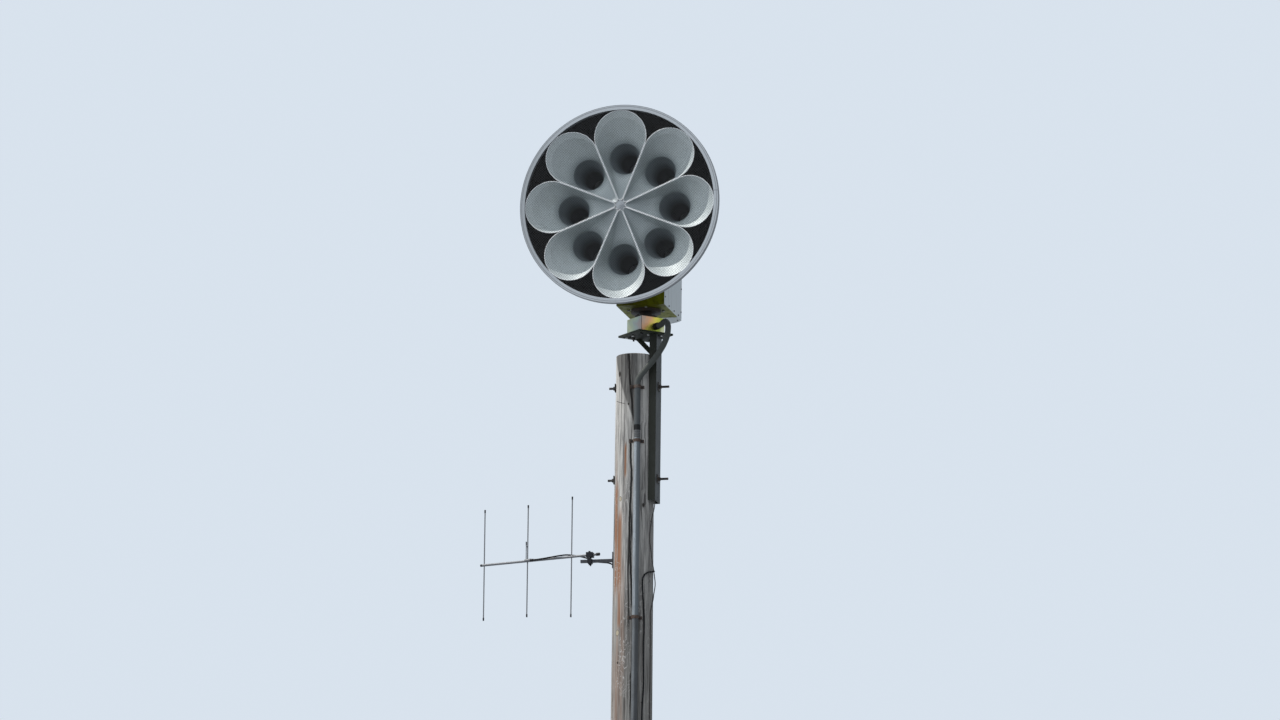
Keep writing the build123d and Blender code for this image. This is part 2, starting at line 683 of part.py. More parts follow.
def make_flex_conduit():
    """The flexible conduit: out of the box, over in a tight bend and down to the pole."""
    points = [GLAND_END, GLAND_END + FACE_OUT * FLEX_FIRST_RUN]
    for bend in FLEX_BENDS:
        points.append(GLAND_END + Vector(*bend))
    landing = TOP - STRAP_FIRST_DROP + FLEX_LANDING
    lead = conduit_point(landing + FLEX_LEAD, FLEX_DIA + 2 * FLEX_LEAD_OUT)
    points.append(lead + Vector(FLEX_LEAD_SIDE, 0, 0))
    points.append(conduit_point(landing, FLEX_DIA))
    points.append(conduit_point(FLEX_END_Z, FLEX_DIA))
    return tube_along(points, FLEX_DIA, "flex conduit")


def make_conduit_connector():
    """The collar and body that join the flexible conduit to the rigid one."""
    neck_z = FLEX_END_Z - COLLAR_LENGTH
    collar_top = conduit_point(FLEX_END_Z, COLLAR_DIA)
    collar = rod_between(collar_top, conduit_point(neck_z, COLLAR_DIA), COLLAR_DIA)
    body = rod_between(rigid_point(neck_z + 1), rigid_point(CONNECTOR_END_Z), CONDUIT_DIA)
    return collar + body


def make_rigid_conduit():
    """The straight conduit lengths down the pole and the offset bend into the cabinet."""
    entry = CABINET_TOP + HUB_HEIGHT
    bend_top = entry + OFFSET_STRAIGHT + OFFSET_RISE + OFFSET_STRAIGHT
    lengths = []
    joints = []
    top = CONNECTOR_END_Z
    while top - CONDUIT_LENGTH > bend_top:
        bottom = top - CONDUIT_LENGTH
        lengths.append(rod_between(rigid_point(top), rigid_point(bottom), CONDUIT_DIA))
        joints.append(bottom)
        top = bottom
    inlet = Vector(rigid_point(entry).X, CONDUIT_ENTRY_Y, entry)
    points = [rigid_point(top), rigid_point(bend_top - OFFSET_STRAIGHT),
              inlet + Vector(0, 0, OFFSET_STRAIGHT), inlet]
    path = FilletPolyline(*points, radius=OFFSET_BEND)
    start = Plane(origin=points[0], z_dir=(points[1] - points[0]).normalized())
    lengths.append(sweep(start * Circle(CONDUIT_DIA / 2), path=path))
    couplings = []
    for level in joints:
        upper = rigid_point(level + COUPLING_LENGTH / 2)
        lower = rigid_point(level - COUPLING_LENGTH / 2)
        couplings.append(rod_between(upper, lower, COUPLING_DIA) - rod_between(upper, lower, CONDUIT_DIA))
    return lengths, couplings


def make_strap(z, diameter, centre, stand_off):
    """A two-hole strap over a conduit, with its ears on the pole."""
    outward = Vector(centre.X, centre.Y, 0).normalized()
    under = centre - Vector(0, 0, STRAP_WIDTH / 2)
    plane = Plane(origin=under, x_dir=(-outward.Y, outward.X, 0), z_dir=(0, 0, 1))
    inner = diameter / 2 + POLE_GAP
    outer = inner + STRAP_THICK
    foot = diameter / 2 + stand_off
    saddle = Circle(outer) + Pos(0, foot / 2) * Rectangle(2 * outer, foot)
    saddle -= Circle(inner) + Pos(0, foot) * Rectangle(2 * inner, 2 * foot)
    ears = Pos(0, foot - STRAP_THICK / 2) * Rectangle(2 * (outer + STRAP_EAR), STRAP_THICK)
    ears -= Pos(0, foot) * Rectangle(2 * inner, 4 * STRAP_THICK)
    strap = extrude(plane * (saddle + ears), STRAP_WIDTH)
    clear_foot = (POLE_GROUND_DIA + POLE_GAP) / 2
    clear_top = (POLE_TOP_DIA + POLE_GAP) / 2
    clear = Pos(0, 0, TOP / 2) * Cone(clear_foot, clear_top, TOP)
    return strap - clear


def strap_levels():
    """Heights of the straps: one on the flexible conduit, the others down the rigid one."""
    levels = []
    level = TOP - STRAP_SECOND_DROP
    while level > CABINET_TOP + HUB_HEIGHT + 2 * OFFSET_STRAIGHT + OFFSET_RISE:
        levels.append(level)
        level -= STRAP_PITCH
    return levels


# Cabinet

def make_cabinet():
    """The open steel cabinet shell with a lip round its front."""
    half = CABINET_WIDTH / 2
    wall = CABINET_WALL
    shell = block(-half, half, CABINET_FRONT, CABINET_BACK, CABINET_ABOVE_GROUND, CABINET_TOP)
    shell -= block(-half + wall, half - wall, CABINET_FRONT + wall, CABINET_BACK - wall,
                   CABINET_ABOVE_GROUND + wall, CABINET_TOP - wall)
    shell -= block(-half + CABINET_LIP, half - CABINET_LIP, CABINET_FRONT - 1, CABINET_FRONT + wall + 1,
                   CABINET_ABOVE_GROUND + CABINET_LIP, CABINET_TOP - CABINET_LIP)
    return shell


def make_cabinet_door():
    """The flat cabinet door with its folded edge."""
    half = CABINET_WIDTH / 2
    back = CABINET_FRONT - SEAT_GAP
    door = block(-half, half, back - DOOR_THICK, back, CABINET_ABOVE_GROUND, CABINET_TOP)
    inner = half - CABINET_WALL
    door -= block(-inner, inner, back - DOOR_THICK + CABINET_WALL, back + 1,
                  CABINET_ABOVE_GROUND + CABINET_WALL, CABINET_TOP - CABINET_WALL)
    return door


def make_cabinet_latch():
    """The round turn latch on the door."""
    front = CABINET_FRONT - SEAT_GAP - DOOR_THICK
    x = CABINET_WIDTH / 2 - 2 * LATCH_DIA
    middle = (CABINET_ABOVE_GROUND + CABINET_TOP) / 2
    knob = rod_between((x, front, middle), (x, front - LATCH_THICK, middle), LATCH_DIA)
    grip = block(x - LATCH_THICK / 4, x + LATCH_THICK / 4, front - 2 * LATCH_THICK, front - LATCH_THICK + 1,
                 middle - LATCH_DIA / 2 + 2, middle + LATCH_DIA / 2 - 2)
    return knob + grip


def make_cabinet_hinges():
    """Three hinge knuckles on the left edge of the cabinet."""
    x = -CABINET_WIDTH / 2 - HINGE_DIA / 2
    y = CABINET_FRONT
    knuckles = []
    for share in HINGE_SHARES:
        level = CABINET_ABOVE_GROUND + share * CABINET_HEIGHT
        knuckles.append(upright(x, y, level - HINGE_LENGTH / 2, level + HINGE_LENGTH / 2, HINGE_DIA))
    return Compound(children=knuckles)


def make_cabinet_brackets():
    """Two channel brackets between the pole and the cabinet, each hollowed to the pole."""
    brackets = []
    half = CABINET_WIDTH / 2
    for level in (CABINET_ABOVE_GROUND + BRACKET_FROM_END, CABINET_TOP - BRACKET_FROM_END):
        low = level - BRACKET_HEIGHT / 2
        high = level + BRACKET_HEIGHT / 2
        bar = block(-half, half, CABINET_BACK, CABINET_BACK + CABINET_STANDOFF + BRACKET_BED, low, high)
        bar -= block(-half - 1, half + 1, CABINET_BACK + BRACKET_WALL, CABINET_BACK + 2 * CABINET_STANDOFF,
                     low + BRACKET_WALL, high - BRACKET_WALL)
        bar -= Pos(0, 0, TOP / 2) * Cone(POLE_GROUND_DIA / 2, POLE_TOP_DIA / 2, TOP)
        brackets.append(bar)
    return Compound(children=brackets)


def make_cabinet_hubs():
    """The conduit hub and the cable gland on the cabinet's roof."""
    conduit_x = rigid_point(CABINET_TOP + HUB_HEIGHT).X
    hub = upright(conduit_x, CONDUIT_ENTRY_Y, CABINET_TOP, CABINET_TOP + HUB_HEIGHT, COUPLING_DIA)
    gland = upright(CABLE_ENTRY_X, CONDUIT_ENTRY_Y, CABINET_TOP, CABINET_TOP + HUB_HEIGHT, CABLE_GLAND_DIA)
    return Compound(children=[hub, gland])


# Antenna

ARM_Z = TOP - ARM_DROP
BOOM_Z = ARM_Z + BOOM_RISE
BOOM_DIR = Vector(-math.cos(math.radians(BOOM_TURN)), math.sin(math.radians(BOOM_TURN)), 0)
BOOM_SIDE = Vector(BOOM_DIR.Y, -BOOM_DIR.X, 0)
BOOM_CENTRE = Vector(-BOOM_CLAMP_AT, 0, BOOM_Z)
GAMMA_SIDE = -(BOOM_DIA + GAMMA_BLOCK_DIA) / 2 - POLE_GAP
GAMMA_NEAR = DRIVEN_AT + GAMMA_BLOCK_AHEAD - GAMMA_BLOCK_LENGTH
ARM_ROOT_X = -pole_radius(ARM_Z - ARM_FOOT_HEIGHT / 2)


def boom_point(along, side=0.0, up=0.0):
    """A point on or beside the boom, by its distance from the clamp."""
    return BOOM_CENTRE + BOOM_DIR * along + BOOM_SIDE * side + Vector(0, 0, up)


def make_antenna_arm():
    """The square arm that carries the antenna, with its foot on the pole."""
    half = ARM_SIDE / 2
    foot_face = ARM_ROOT_X - ARM_FOOT_THICK
    arm = block(-ARM_REACH, foot_face + 1, -half, half, ARM_Z - half, ARM_Z + half)
    arm += block(foot_face, ARM_ROOT_X, -ARM_FOOT_WIDTH / 2, ARM_FOOT_WIDTH / 2,
                 ARM_Z - ARM_FOOT_HEIGHT / 2, ARM_Z + ARM_FOOT_HEIGHT / 2)
    return arm


def make_antenna_clamp():
    """A saddle on the boom and one on the arm, drawn together by two bolts."""
    half_depth = SADDLE_DEPTH / 2
    half_height = SADDLE_HEIGHT / 2
    saddles = []
    for level, width in ((BOOM_Z, SADDLE_WIDTH), (ARM_Z, LOWER_SADDLE_WIDTH)):
        saddles.append(block(-BOOM_CLAMP_AT - width / 2, -BOOM_CLAMP_AT + width / 2, -half_depth, half_depth,
                             level - half_height, level + half_height))
    clamp = saddles[0] + saddles[1]
    low = ARM_Z - half_height
    high = BOOM_Z + half_height
    for y in (-CLAMP_BOLT_SIDE, CLAMP_BOLT_SIDE):
        bolt_low = low - 2 * CLAMP_NUT_HEIGHT
        bolt_high = high + CLAMP_NUT_HEIGHT
        clamp += upright(-BOOM_CLAMP_AT, y, bolt_low, bolt_high, CLAMP_BOLT_DIA)
        for level in (low - CLAMP_NUT_HEIGHT, high - 1):
            place = Plane(origin=(-BOOM_CLAMP_AT, y, level))
            clamp += hexagon(place, CLAMP_NUT_FLATS, CLAMP_NUT_HEIGHT + 1)
    side = ARM_SIDE / 2
    clamp -= block(-ARM_REACH, ARM_ROOT_X, -side, side, ARM_Z - side, ARM_Z + side)
    return clamp - rod_between(boom_point(-SADDLE_WIDTH), boom_point(SADDLE_WIDTH), BOOM_DIA)


ELEMENTS = {
    "reflector": (REFLECTOR_AT, REFLECTOR_LENGTH),
    "driven": (DRIVEN_AT, DRIVEN_LENGTH),
    "director": (DIRECTOR_AT, DIRECTOR_LENGTH),
}


def make_boom():
    """The round boom with a hole for each element."""
    boom = rod_between(boom_point(-BOOM_TAIL), boom_point(BOOM_LENGTH - BOOM_TAIL), BOOM_DIA)
    for along, length in ELEMENTS.values():
        drill = ELEMENT_DIA + 2 * ELEMENT_GAP
        boom -= rod_between(boom_point(along, up=-BOOM_DIA), boom_point(along, up=BOOM_DIA), drill)
    return boom


def make_element(along, length):
    """One upright element of the antenna."""
    return rod_between(boom_point(along, up=-length / 2), boom_point(along, up=length / 2), ELEMENT_DIA)


def make_gamma_match():
    """The feed block beside the boom, its upright matching rod and the strap to the driven element."""
    near = boom_point(GAMMA_NEAR, side=GAMMA_SIDE)
    far = boom_point(GAMMA_NEAR + GAMMA_BLOCK_LENGTH, side=GAMMA_SIDE)
    match = rod_between(near, far, GAMMA_BLOCK_DIA)
    foot = boom_point(DRIVEN_AT, side=GAMMA_SIDE)
    tip = boom_point(DRIVEN_AT, side=GAMMA_SIDE, up=GAMMA_ROD_LENGTH)
    match += rod_between(foot, tip, GAMMA_ROD_DIA)
    start = boom_point(DRIVEN_AT, side=-ELEMENT_DIA / 2 - ELEMENT_GAP, up=GAMMA_STRAP_UP)
    end = boom_point(DRIVEN_AT, side=GAMMA_SIDE, up=GAMMA_STRAP_UP)
    return match + rod_between(start, end, GAMMA_PLATE)


# Cable and ground wire

def round_pole(stops, stand_off):
    """Points that wrap round the pole between stops of angle and height, with no long chord."""
    points = []
    for (angle, z), (next_angle, next_z) in zip(stops, stops[1:]):
        steps = max(1, math.ceil(abs(next_angle - angle) / WRAP_STEP))
        for step in range(steps):
            share = step / steps
            extra = stand_off + WRAP_LIFT * (steps > 1)
            points.append(on_pole(angle + share * (next_angle - angle), z + share * (next_z - z), extra))
    angle, z = stops[-1]
    points.append(on_pole(angle, z, stand_off + WRAP_LIFT / 2))
    return points


# Where the cable lies along the boom: distance from the clamp, sideways and up
CABLE_BESIDE = (BOOM_DIA + CABLE_DIA) / 2 + 1.5
CABLE_ON_BOOM = (
    (DRIVEN_AT - 78.0, GAMMA_SIDE, 0.0),
    (DRIVEN_AT - 128.0, -CABLE_BESIDE - 2.0, 3.0),
    (DRIVEN_AT - 190.0, -CABLE_BESIDE, 8.0),
    (DRIVEN_AT - 250.0, -CABLE_BESIDE + 5.0, 14.0),
    (REFLECTOR_AT + 38.0, 1.0, 17.5),
    (REFLECTOR_AT - 6.0, 14.0, 11.0),
    (REFLECTOR_AT - 62.0, 28.0, 0.0),
    (38.0, 40.0, -14.0),
)

# Where the cable leaves the clamp for the pole: along X, sideways, and up from the arm
CABLE_TO_POLE = (
    (-BOOM_CLAMP_AT + 30.0, 36.0, 2.0),
    (-BOOM_CLAMP_AT + 80.0, 22.0, -6.0),
    (ARM_ROOT_X - 34.0, 26.0, -10.0),
)

# Where the cable goes round the back of the pole and down: angle, and how far below the arm
CABLE_WRAP = ((-112.0, 32.0), (-146.0, 46.0), (-212.0, 62.0), (-257.0, 76.0), (-300.0, 100.0),
              (-313.0, 118.0))
CABLE_DOWN = ((40.0, 148.0), (40.0, 196.0), (41.5, 262.0), (46.0, 400.0), (46.5, 470.0),
              (44.5, 600.0), (46.5, 880.0), (42.0, 1020.0))

# Where the ground wire goes past the cable: angle, how far below the arm, and 1 where it is lifted over
WIRE_DOWN = ((70.0, -250.0, 0), (65.0, -120.0, 0), (68.0, 5.0, 1), (78.0, 72.0, 1), (98.0, 170.0, 1),
             (99.0, 236.0, 0), (92.0, 268.0, 0), (84.0, 296.0, 0), (77.0, 332.0, 0), (71.0, 372.0, 0),
             (72.0, 500.0, 0))
WIRE_END_UP = 10.0
WIRE_TAIL = 50.0


def make_antenna_cable():
    """The cable along the boom and arm, round the back of the pole and down to the cabinet."""
    points = [boom_point(GAMMA_NEAR - POLE_GAP, side=GAMMA_SIDE)]
    for along, side, up in CABLE_ON_BOOM:
        points.append(boom_point(along, side=side, up=up))
    for x, y, up in CABLE_TO_POLE:
        points.append(Vector(x, y, ARM_Z + up))
    stand_off = CABLE_DIA / 2 + POLE_GAP
    points += round_pole([(angle, ARM_Z - drop) for angle, drop in CABLE_WRAP], stand_off)
    for angle, drop in CABLE_DOWN:
        points.append(on_pole(angle, ARM_Z - drop, stand_off))
    points.append(on_pole(CABLE_DOWN[-1][0], CABINET_TOP + CABLE_LAST_RISE, stand_off))
    entry = Vector(CABLE_ENTRY_X, CONDUIT_ENTRY_Y, CABINET_TOP + HUB_HEIGHT)
    points.append(entry + Vector(-CABLE_LOOP_SIDE, CABLE_LOOP_BACK, CABLE_LOOP_RISE))
    points.append(entry + Vector(0, 0, CABLE_ENTRY_RISE))
    points.append(entry)
    return tube_along(points, CABLE_DIA, "antenna cable")


def make_ground_wire():
    """The ground wire from the channel's foot down to the pole's foot."""
    stand_off = WIRE_DIA / 2 + WIRE_LIFT
    over_cable = stand_off + CABLE_DIA + WRAP_LIFT
    start = Vector(WEB_OUTER - CHANNEL_WEB_THICK / 2, -(TOE_Y + CHANNEL_DEPTH / 2) / 2, CHANNEL_BOTTOM)
    points = [start, start - Vector(0, 0, WIRE_TAIL)]
    for angle, drop, lifted in WIRE_DOWN:
        points.append(on_pole(angle, ARM_Z - drop, over_cable if lifted else stand_off))
    points.append(on_pole(WIRE_DOWN[-1][0], WIRE_END_UP, stand_off))
    return tube_along(points, WIRE_DIA, "ground wire")


def main():
    """Makes every node and writes it."""
    rods, nuts, washers = make_rods()
    lengths, couplings = make_rigid_conduit()
    rigid_gap = (COUPLING_DIA - CONDUIT_DIA) / 2 + POLE_GAP
    straps = [make_strap(level, CONDUIT_DIA, rigid_point(level), rigid_gap) for level in strap_levels()]
    first = TOP - STRAP_FIRST_DROP
    straps.append(make_strap(first, FLEX_DIA, conduit_point(first, FLEX_DIA), POLE_GAP))
    nodes = {
        "pole": make_pole(),
        "mount_channel": make_channel(),
        "through_bolt_rods": rods,
        "through_bolt_nuts": nuts,
        "through_bolt_washers": washers,
        "mount_plate": make_plate(),
        "plate_brace": make_brace(),
        "rotator_box": make_rotator_box(),
        "rotator_lid": make_rotator_lid(),
        "rotator_box_bolts": make_box_bolts(),
        "bearing_ring": make_bearing_ring(),
        "spindle_flange": make_spindle(),
        "head_frame": make_head_frame(),
        "left_side_cover": make_side_cover(-1),
        "right_side_cover": make_side_cover(1),
        "rear_cover": make_rear_cover(),
        "top_cover": make_top_cover(),
        "horn_rim": make_rim(),
        "horn_shell": make_horn_shell(),
        "horn_back_plate": make_back_plate(),
        "sound_drum": make_sound_drum(),
        "horn_hub": make_hub(),
        "horn_hub_cap": make_hub_cap(),
        "conduit_gland": make_gland(),
        "flex_conduit": make_flex_conduit(),
        "conduit_connector": make_conduit_connector(),
        "rigid_conduit": Compound(children=lengths),
        "conduit_couplings": Compound(children=couplings),
        "conduit_straps": Compound(children=straps),
        "control_cabinet": make_cabinet(),
        "cabinet_door": make_cabinet_door(),
        "cabinet_latch": make_cabinet_latch(),
        "cabinet_hinges": make_cabinet_hinges(),
        "cabinet_brackets": make_cabinet_brackets(),
        "cabinet_hubs": make_cabinet_hubs(),
        "antenna_arm": make_antenna_arm(),
        "antenna_clamp": make_antenna_clamp(),
        "antenna_boom": make_boom(),
        "antenna_gamma_match": make_gamma_match(),
        "antenna_cable": make_antenna_cable(),
        "ground_wire": make_ground_wire(),
    }
    for name, (along, length) in ELEMENTS.items():
        nodes[f"antenna_{name}"] = make_element(along, length)
    cell = make_cell()
    for number in range(CELL_COUNT):
        nodes[f"horn_cell_{number + 1}"] = place_on_horn(cell, 360.0 / CELL_COUNT * number)
    os.makedirs("parts", exist_ok=True)
    for name, shape in nodes.items():
        export_step(shape, f"parts/{name}.step")


main()
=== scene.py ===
import json
import math
import bmesh
import bpy
from mathutils import Matrix, Vector


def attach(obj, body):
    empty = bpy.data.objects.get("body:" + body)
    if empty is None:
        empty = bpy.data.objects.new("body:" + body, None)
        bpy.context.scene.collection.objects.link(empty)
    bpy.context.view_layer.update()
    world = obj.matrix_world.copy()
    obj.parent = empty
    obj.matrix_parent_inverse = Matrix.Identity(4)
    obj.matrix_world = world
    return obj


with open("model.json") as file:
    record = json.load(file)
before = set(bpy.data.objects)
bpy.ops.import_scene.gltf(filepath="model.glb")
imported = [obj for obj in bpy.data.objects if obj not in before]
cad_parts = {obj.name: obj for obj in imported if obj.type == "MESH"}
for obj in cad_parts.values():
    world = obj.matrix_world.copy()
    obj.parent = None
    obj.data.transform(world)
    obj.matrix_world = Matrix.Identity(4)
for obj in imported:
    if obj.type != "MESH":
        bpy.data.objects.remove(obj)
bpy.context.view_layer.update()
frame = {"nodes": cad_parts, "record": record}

# Looks of the siren tower. Metres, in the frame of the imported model: +Z up, the horns face -Y.

scene = bpy.context.scene
nodes = frame["nodes"]


# Shader maths

class Val:
    """A number that varies over a surface. Operators on it add Math nodes."""

    def __init__(self, shade, socket):
        self.shade = shade
        self.socket = socket

    def _math(self, operation, *values):
        return self.shade.value("ShaderNodeMath", {"operation": operation}, *values)

    def __add__(self, other):
        return self._math("ADD", self, other)

    __radd__ = __add__

    def __sub__(self, other):
        return self._math("SUBTRACT", self, other)

    def __rsub__(self, other):
        return self._math("SUBTRACT", other, self)

    def __mul__(self, other):
        return self._math("MULTIPLY", self, other)

    def __truediv__(self, other):
        return self._math("DIVIDE", self, other)

    def __pow__(self, other):
        return self._math("POWER", self, other)

    def most(self, other):
        """The larger of the two."""
        return self._math("MAXIMUM", self, other)

    def size(self):
        """The value without its sign."""
        return self._math("ABSOLUTE", self)

    def sine(self):
        return self._math("SINE", self)

    def angle_to(self, other):
        return self._math("ARCTAN2", self, other)

    def band(self, low, high):
        """0 below low, 1 above high, smooth between."""
        node = self.shade.node("ShaderNodeMapRange", {"interpolation_type": "SMOOTHSTEP"},
                               Value=self, **{"From Min": low, "From Max": high})
        return Val(self.shade, node.outputs["Result"])


class Shade:
    """One procedural material on the piece's own place in the frame."""

    def __init__(self, name, roughness=0.5, metallic=0.0, specular=0.5):
        self.material = bpy.data.materials.new(name)
        self.material.use_nodes = True
        self.tree = self.material.node_tree
        self.shader = self.tree.nodes["Principled BSDF"]
        self.shader.inputs["Roughness"].default_value = roughness
        self.shader.inputs["Metallic"].default_value = metallic
        self.shader.inputs["Specular IOR Level"].default_value = specular
        self.place = self.node("ShaderNodeTexCoord").outputs["Object"]
        parts = self.node("ShaderNodeSeparateXYZ", Vector=self.place)
        self.x = Val(self, parts.outputs["X"])
        self.y = Val(self, parts.outputs["Y"])
        self.z = Val(self, parts.outputs["Z"])

    def facing(self):
        """The three parts of the surface's direction."""
        normal = self.node("ShaderNodeTexCoord").outputs["Normal"]
        parts = self.node("ShaderNodeSeparateXYZ", Vector=normal)
        return [Val(self, parts.outputs[axis]) for axis in "XYZ"]

    def link(self, value, socket):
        """Joins a socket to a node's output, or writes a plain value into it."""
        if isinstance(value, Val):
            value = value.socket
        if isinstance(value, bpy.types.NodeSocket):
            self.tree.links.new(value, socket)
        elif socket.type == "RGBA" and len(value) == 3:
            socket.default_value = (*value, 1.0)
        else:
            socket.default_value = value

    def node(self, kind, settings=None, *values, **sockets):
        """Any node: its settings first, then the values or links of its sockets by number or name."""
        node = self.tree.nodes.new(kind)
        for name, value in (settings or {}).items():
            if name == "stops":
                while len(node.color_ramp.elements) < len(value):
                    node.color_ramp.elements.new(1.0)
                for element, (place, colour) in zip(node.color_ramp.elements, value):
                    element.position = place
                    element.color = (*colour, 1.0)
            else:
                setattr(node, name, value)
        for number, value in enumerate(values):
            self.link(value, node.inputs[number])
        for name, value in sockets.items():
            self.link(value, node.inputs[name])
        return node

    def value(self, kind, settings, *values):
        return Val(self, self.node(kind, settings, *values).outputs[0])

    def stretched(self, scale):
        """The piece's place, scaled along each axis."""
        return self.node("ShaderNodeMapping", None, Vector=self.place, Scale=scale).outputs["Vector"]

    def noise(self, scale, detail=3.0, rough=0.5, vector=None, warp=0.0):
        """Cloudy noise from 0 to 1."""
        node = self.node("ShaderNodeTexNoise", None, Vector=vector or self.place, Scale=scale, Detail=detail,
                         Roughness=rough, Distortion=warp)
        return Val(self, node.outputs["Fac"])

    def cells(self, scale):
        """The distance to the nearest of many scattered points."""
        node = self.node("ShaderNodeTexVoronoi", None, Vector=self.place, Scale=scale)
        return Val(self, node.outputs["Distance"])

    def patches(self, scale):
        """A different grey in each cell."""
        node = self.node("ShaderNodeTexVoronoi", None, Vector=self.place, Scale=scale)
        grey = self.node("ShaderNodeRGBToBW", None, Color=node.outputs["Color"])
        return Val(self, grey.outputs[0])

    def mix(self, factor, first, second):
        """One colour over another."""
        node = self.node("ShaderNodeMix", {"data_type": "RGBA"})
        self.link(factor, node.inputs[0])
        self.link(first, node.inputs[6])
        self.link(second, node.inputs[7])
        return node.outputs[2]

    def ramp(self, value, stops):
        """A colour that changes from stop to stop."""
        return self.node("ShaderNodeValToRGB", {"stops": stops}, value).outputs["Color"]

    def bump(self, height, strength, distance):
        """Makes the surface look raised where height is large."""
        node = self.node("ShaderNodeBump", None, Strength=strength, Distance=distance, Height=height)
        self.link(node.outputs["Normal"], self.shader.inputs["Normal"])

    def set(self, colour, roughness=None):
        """Gives the shader its colour and roughness and returns the material."""
        self.link(colour, self.shader.inputs["Base Color"])
        if roughness is not None:
            self.link(roughness, self.shader.inputs["Roughness"])
        return self.material


# Materials

POLE_TOP = 13.1
POLE_TOP_RADIUS = 0.130
POLE_FOOT_RADIUS = 0.175
# The axis that the head turns on, which is also the middle of the horn and of the box
HORN_X = 0.068
HORN_Z = 13.962
CELL_COUNT = 8
CELL_FRONT = -0.817
THROAT_CIRCLE = 0.348
HEAD_FLOOR = 13.419

WOOD_DARK = (0.085, 0.081, 0.079)
WOOD_MIDDLE = (0.215, 0.205, 0.197)
WOOD_LIGHT = (0.68, 0.66, 0.62)
WOOD_BLEACHED = (0.78, 0.76, 0.72)
WOOD_LOWER = (0.15, 0.140, 0.125)
WOOD_RUST = (0.30, 0.122, 0.048)
WOOD_SCRAPE = (0.66, 0.64, 0.61)
# The colour of the painted shadow at the pole's top
WOOD_PAINTED_SHADOW = (0.012, 0.012, 0.012)
WOOD_CRACK = (0.012, 0.011, 0.010)
KNOT_DARK = (0.030, 0.024, 0.020)
KNOT_EDGE = (0.05, 0.04, 0.03)
KNOT_PALE = (0.52, 0.45, 0.33)
RING_DARK = (0.10, 0.095, 0.09)
RING_LIGHT = (0.26, 0.245, 0.23)
# A middle value of the pole's radius, on which the width of a knot is measured
POLE_RADIUS = 0.150

# The two long drying cracks in the pole's face: depth below the top in metres, and angle in degrees
CHECK_ONE = ((0.0, -7.0), (0.10, -5.0), (0.19, -2.5), (0.32, 4.0), (0.50, 9.5), (0.60, 11.0))
CHECK_TWO = ((0.60, 0.0), (0.63, 1.5), (0.87, 5.5), (1.14, 1.0), (1.35, 3.5), (1.69, 11.0), (1.83, 14.5),
             (2.6, 9.0))
# Dark knots: depth below the top, angle, radius
KNOTS = ((0.138, -40.0, 0.020), (1.039, 42.0, 0.015), (0.351, -6.5, 0.009),
         (2.110, -32.0, 0.010), (3.4, 25.0, 0.016), (4.6, -60.0, 0.014), (6.1, 120.0, 0.018),
         (7.3, 10.0, 0.016), (9.2, -140.0, 0.017), (10.4, 60.0, 0.016))
# Pale knots with a dark edge, the same way
PALE_KNOTS = ((0.995, -30.0, 0.015), (1.906, -34.5, 0.019), (5.4, -20.0, 0.018))
# Rust streaks: depth of the middle, half its length, angle, half its width in degrees
STREAKS = ((0.735, 0.13, -14.0, 4.5), (1.10, 0.24, -47.0, 11.0), (1.36, 0.32, -38.0, 19.0),
           (1.74, 0.15, -30.0, 6.0), (4.1, 0.50, -10.0, 6.0), (7.6, 0.60, -45.0, 7.0))
# The widest angle of a drying crack to either side of the middle, in degrees
CHECK_SPAN = 20.0
RING_CRACK_DEPTH = 0.335


def hypotenuse(first, second):
    """The distance that two parts at right angles come to."""
    return (first * first + second * second) ** 0.5


def check_line(shade, turn, depth, stops):
    """1 along a narrow crack whose angle changes with depth, 0 elsewhere."""
    low, high = stops[0][0], stops[-1][0]
    share = (depth - low) / (high - low)
    greys = []
    for at, angle in stops:
        grey = (angle + CHECK_SPAN) / (2 * CHECK_SPAN)
        greys.append(((at - low) / (high - low), (grey, grey, grey)))
    wanted = shade.node("ShaderNodeRGBToBW", None, Color=shade.ramp(share, greys)).outputs[0]
    middle = (Val(shade, wanted) * (2 * CHECK_SPAN) - CHECK_SPAN) * (math.pi / 180.0)
    wander = (shade.noise(1.0, 3.0, 0.6, shade.stretched((1.0, 1.0, 14.0))) - 0.5) * 0.09
    away = (turn + wander - middle).size()
    inside = depth.band(low - 0.01, low) * (1.0 - depth.band(high - 0.25, high))
    return (1.0 - away.band(0.038, 0.060)) * inside


def knot(turn, depth, depth_at, angle, radius):
    """How near a place is to a knot: 1 in its middle, 0 outside it."""
    along = (depth - depth_at) * 0.8
    across = (turn - math.radians(angle)) * POLE_RADIUS
    return 1.0 - (hypotenuse(along, across) / radius).band(0.45, 1.0)


def streak(turn, depth, depth_at, half_length, angle, half_width):
    """A soft long patch along the grain: 1 in its middle, 0 outside it."""
    along = (depth - depth_at).size() / half_length
    across = (turn - math.radians(angle)).size() / math.radians(half_width)
    return (1.0 - along.band(0.6, 1.1)) * (1.0 - across.band(0.5, 1.1))


def wood_grain(shade):
    """The height of the fine and of the coarse grain, and the weathered colour that they give."""
    fine = shade.noise(1.0, 6.0, 0.65, shade.stretched((190.0, 190.0, 5.0)))
    ridge = shade.noise(1.0, 4.0, 0.6, shade.stretched((75.0, 75.0, 0.8)))
    broad = shade.noise(1.0, 3.0, 0.5, shade.stretched((16.0, 16.0, 0.9)), warp=0.3)
    tone = fine * 0.45 + broad * 0.25 + ridge * 0.35
    stops = [(0.40, WOOD_DARK), (0.48, WOOD_MIDDLE), (0.58, WOOD_LIGHT), (0.70, WOOD_BLEACHED)]
    return fine, ridge, shade.ramp(tone, stops)


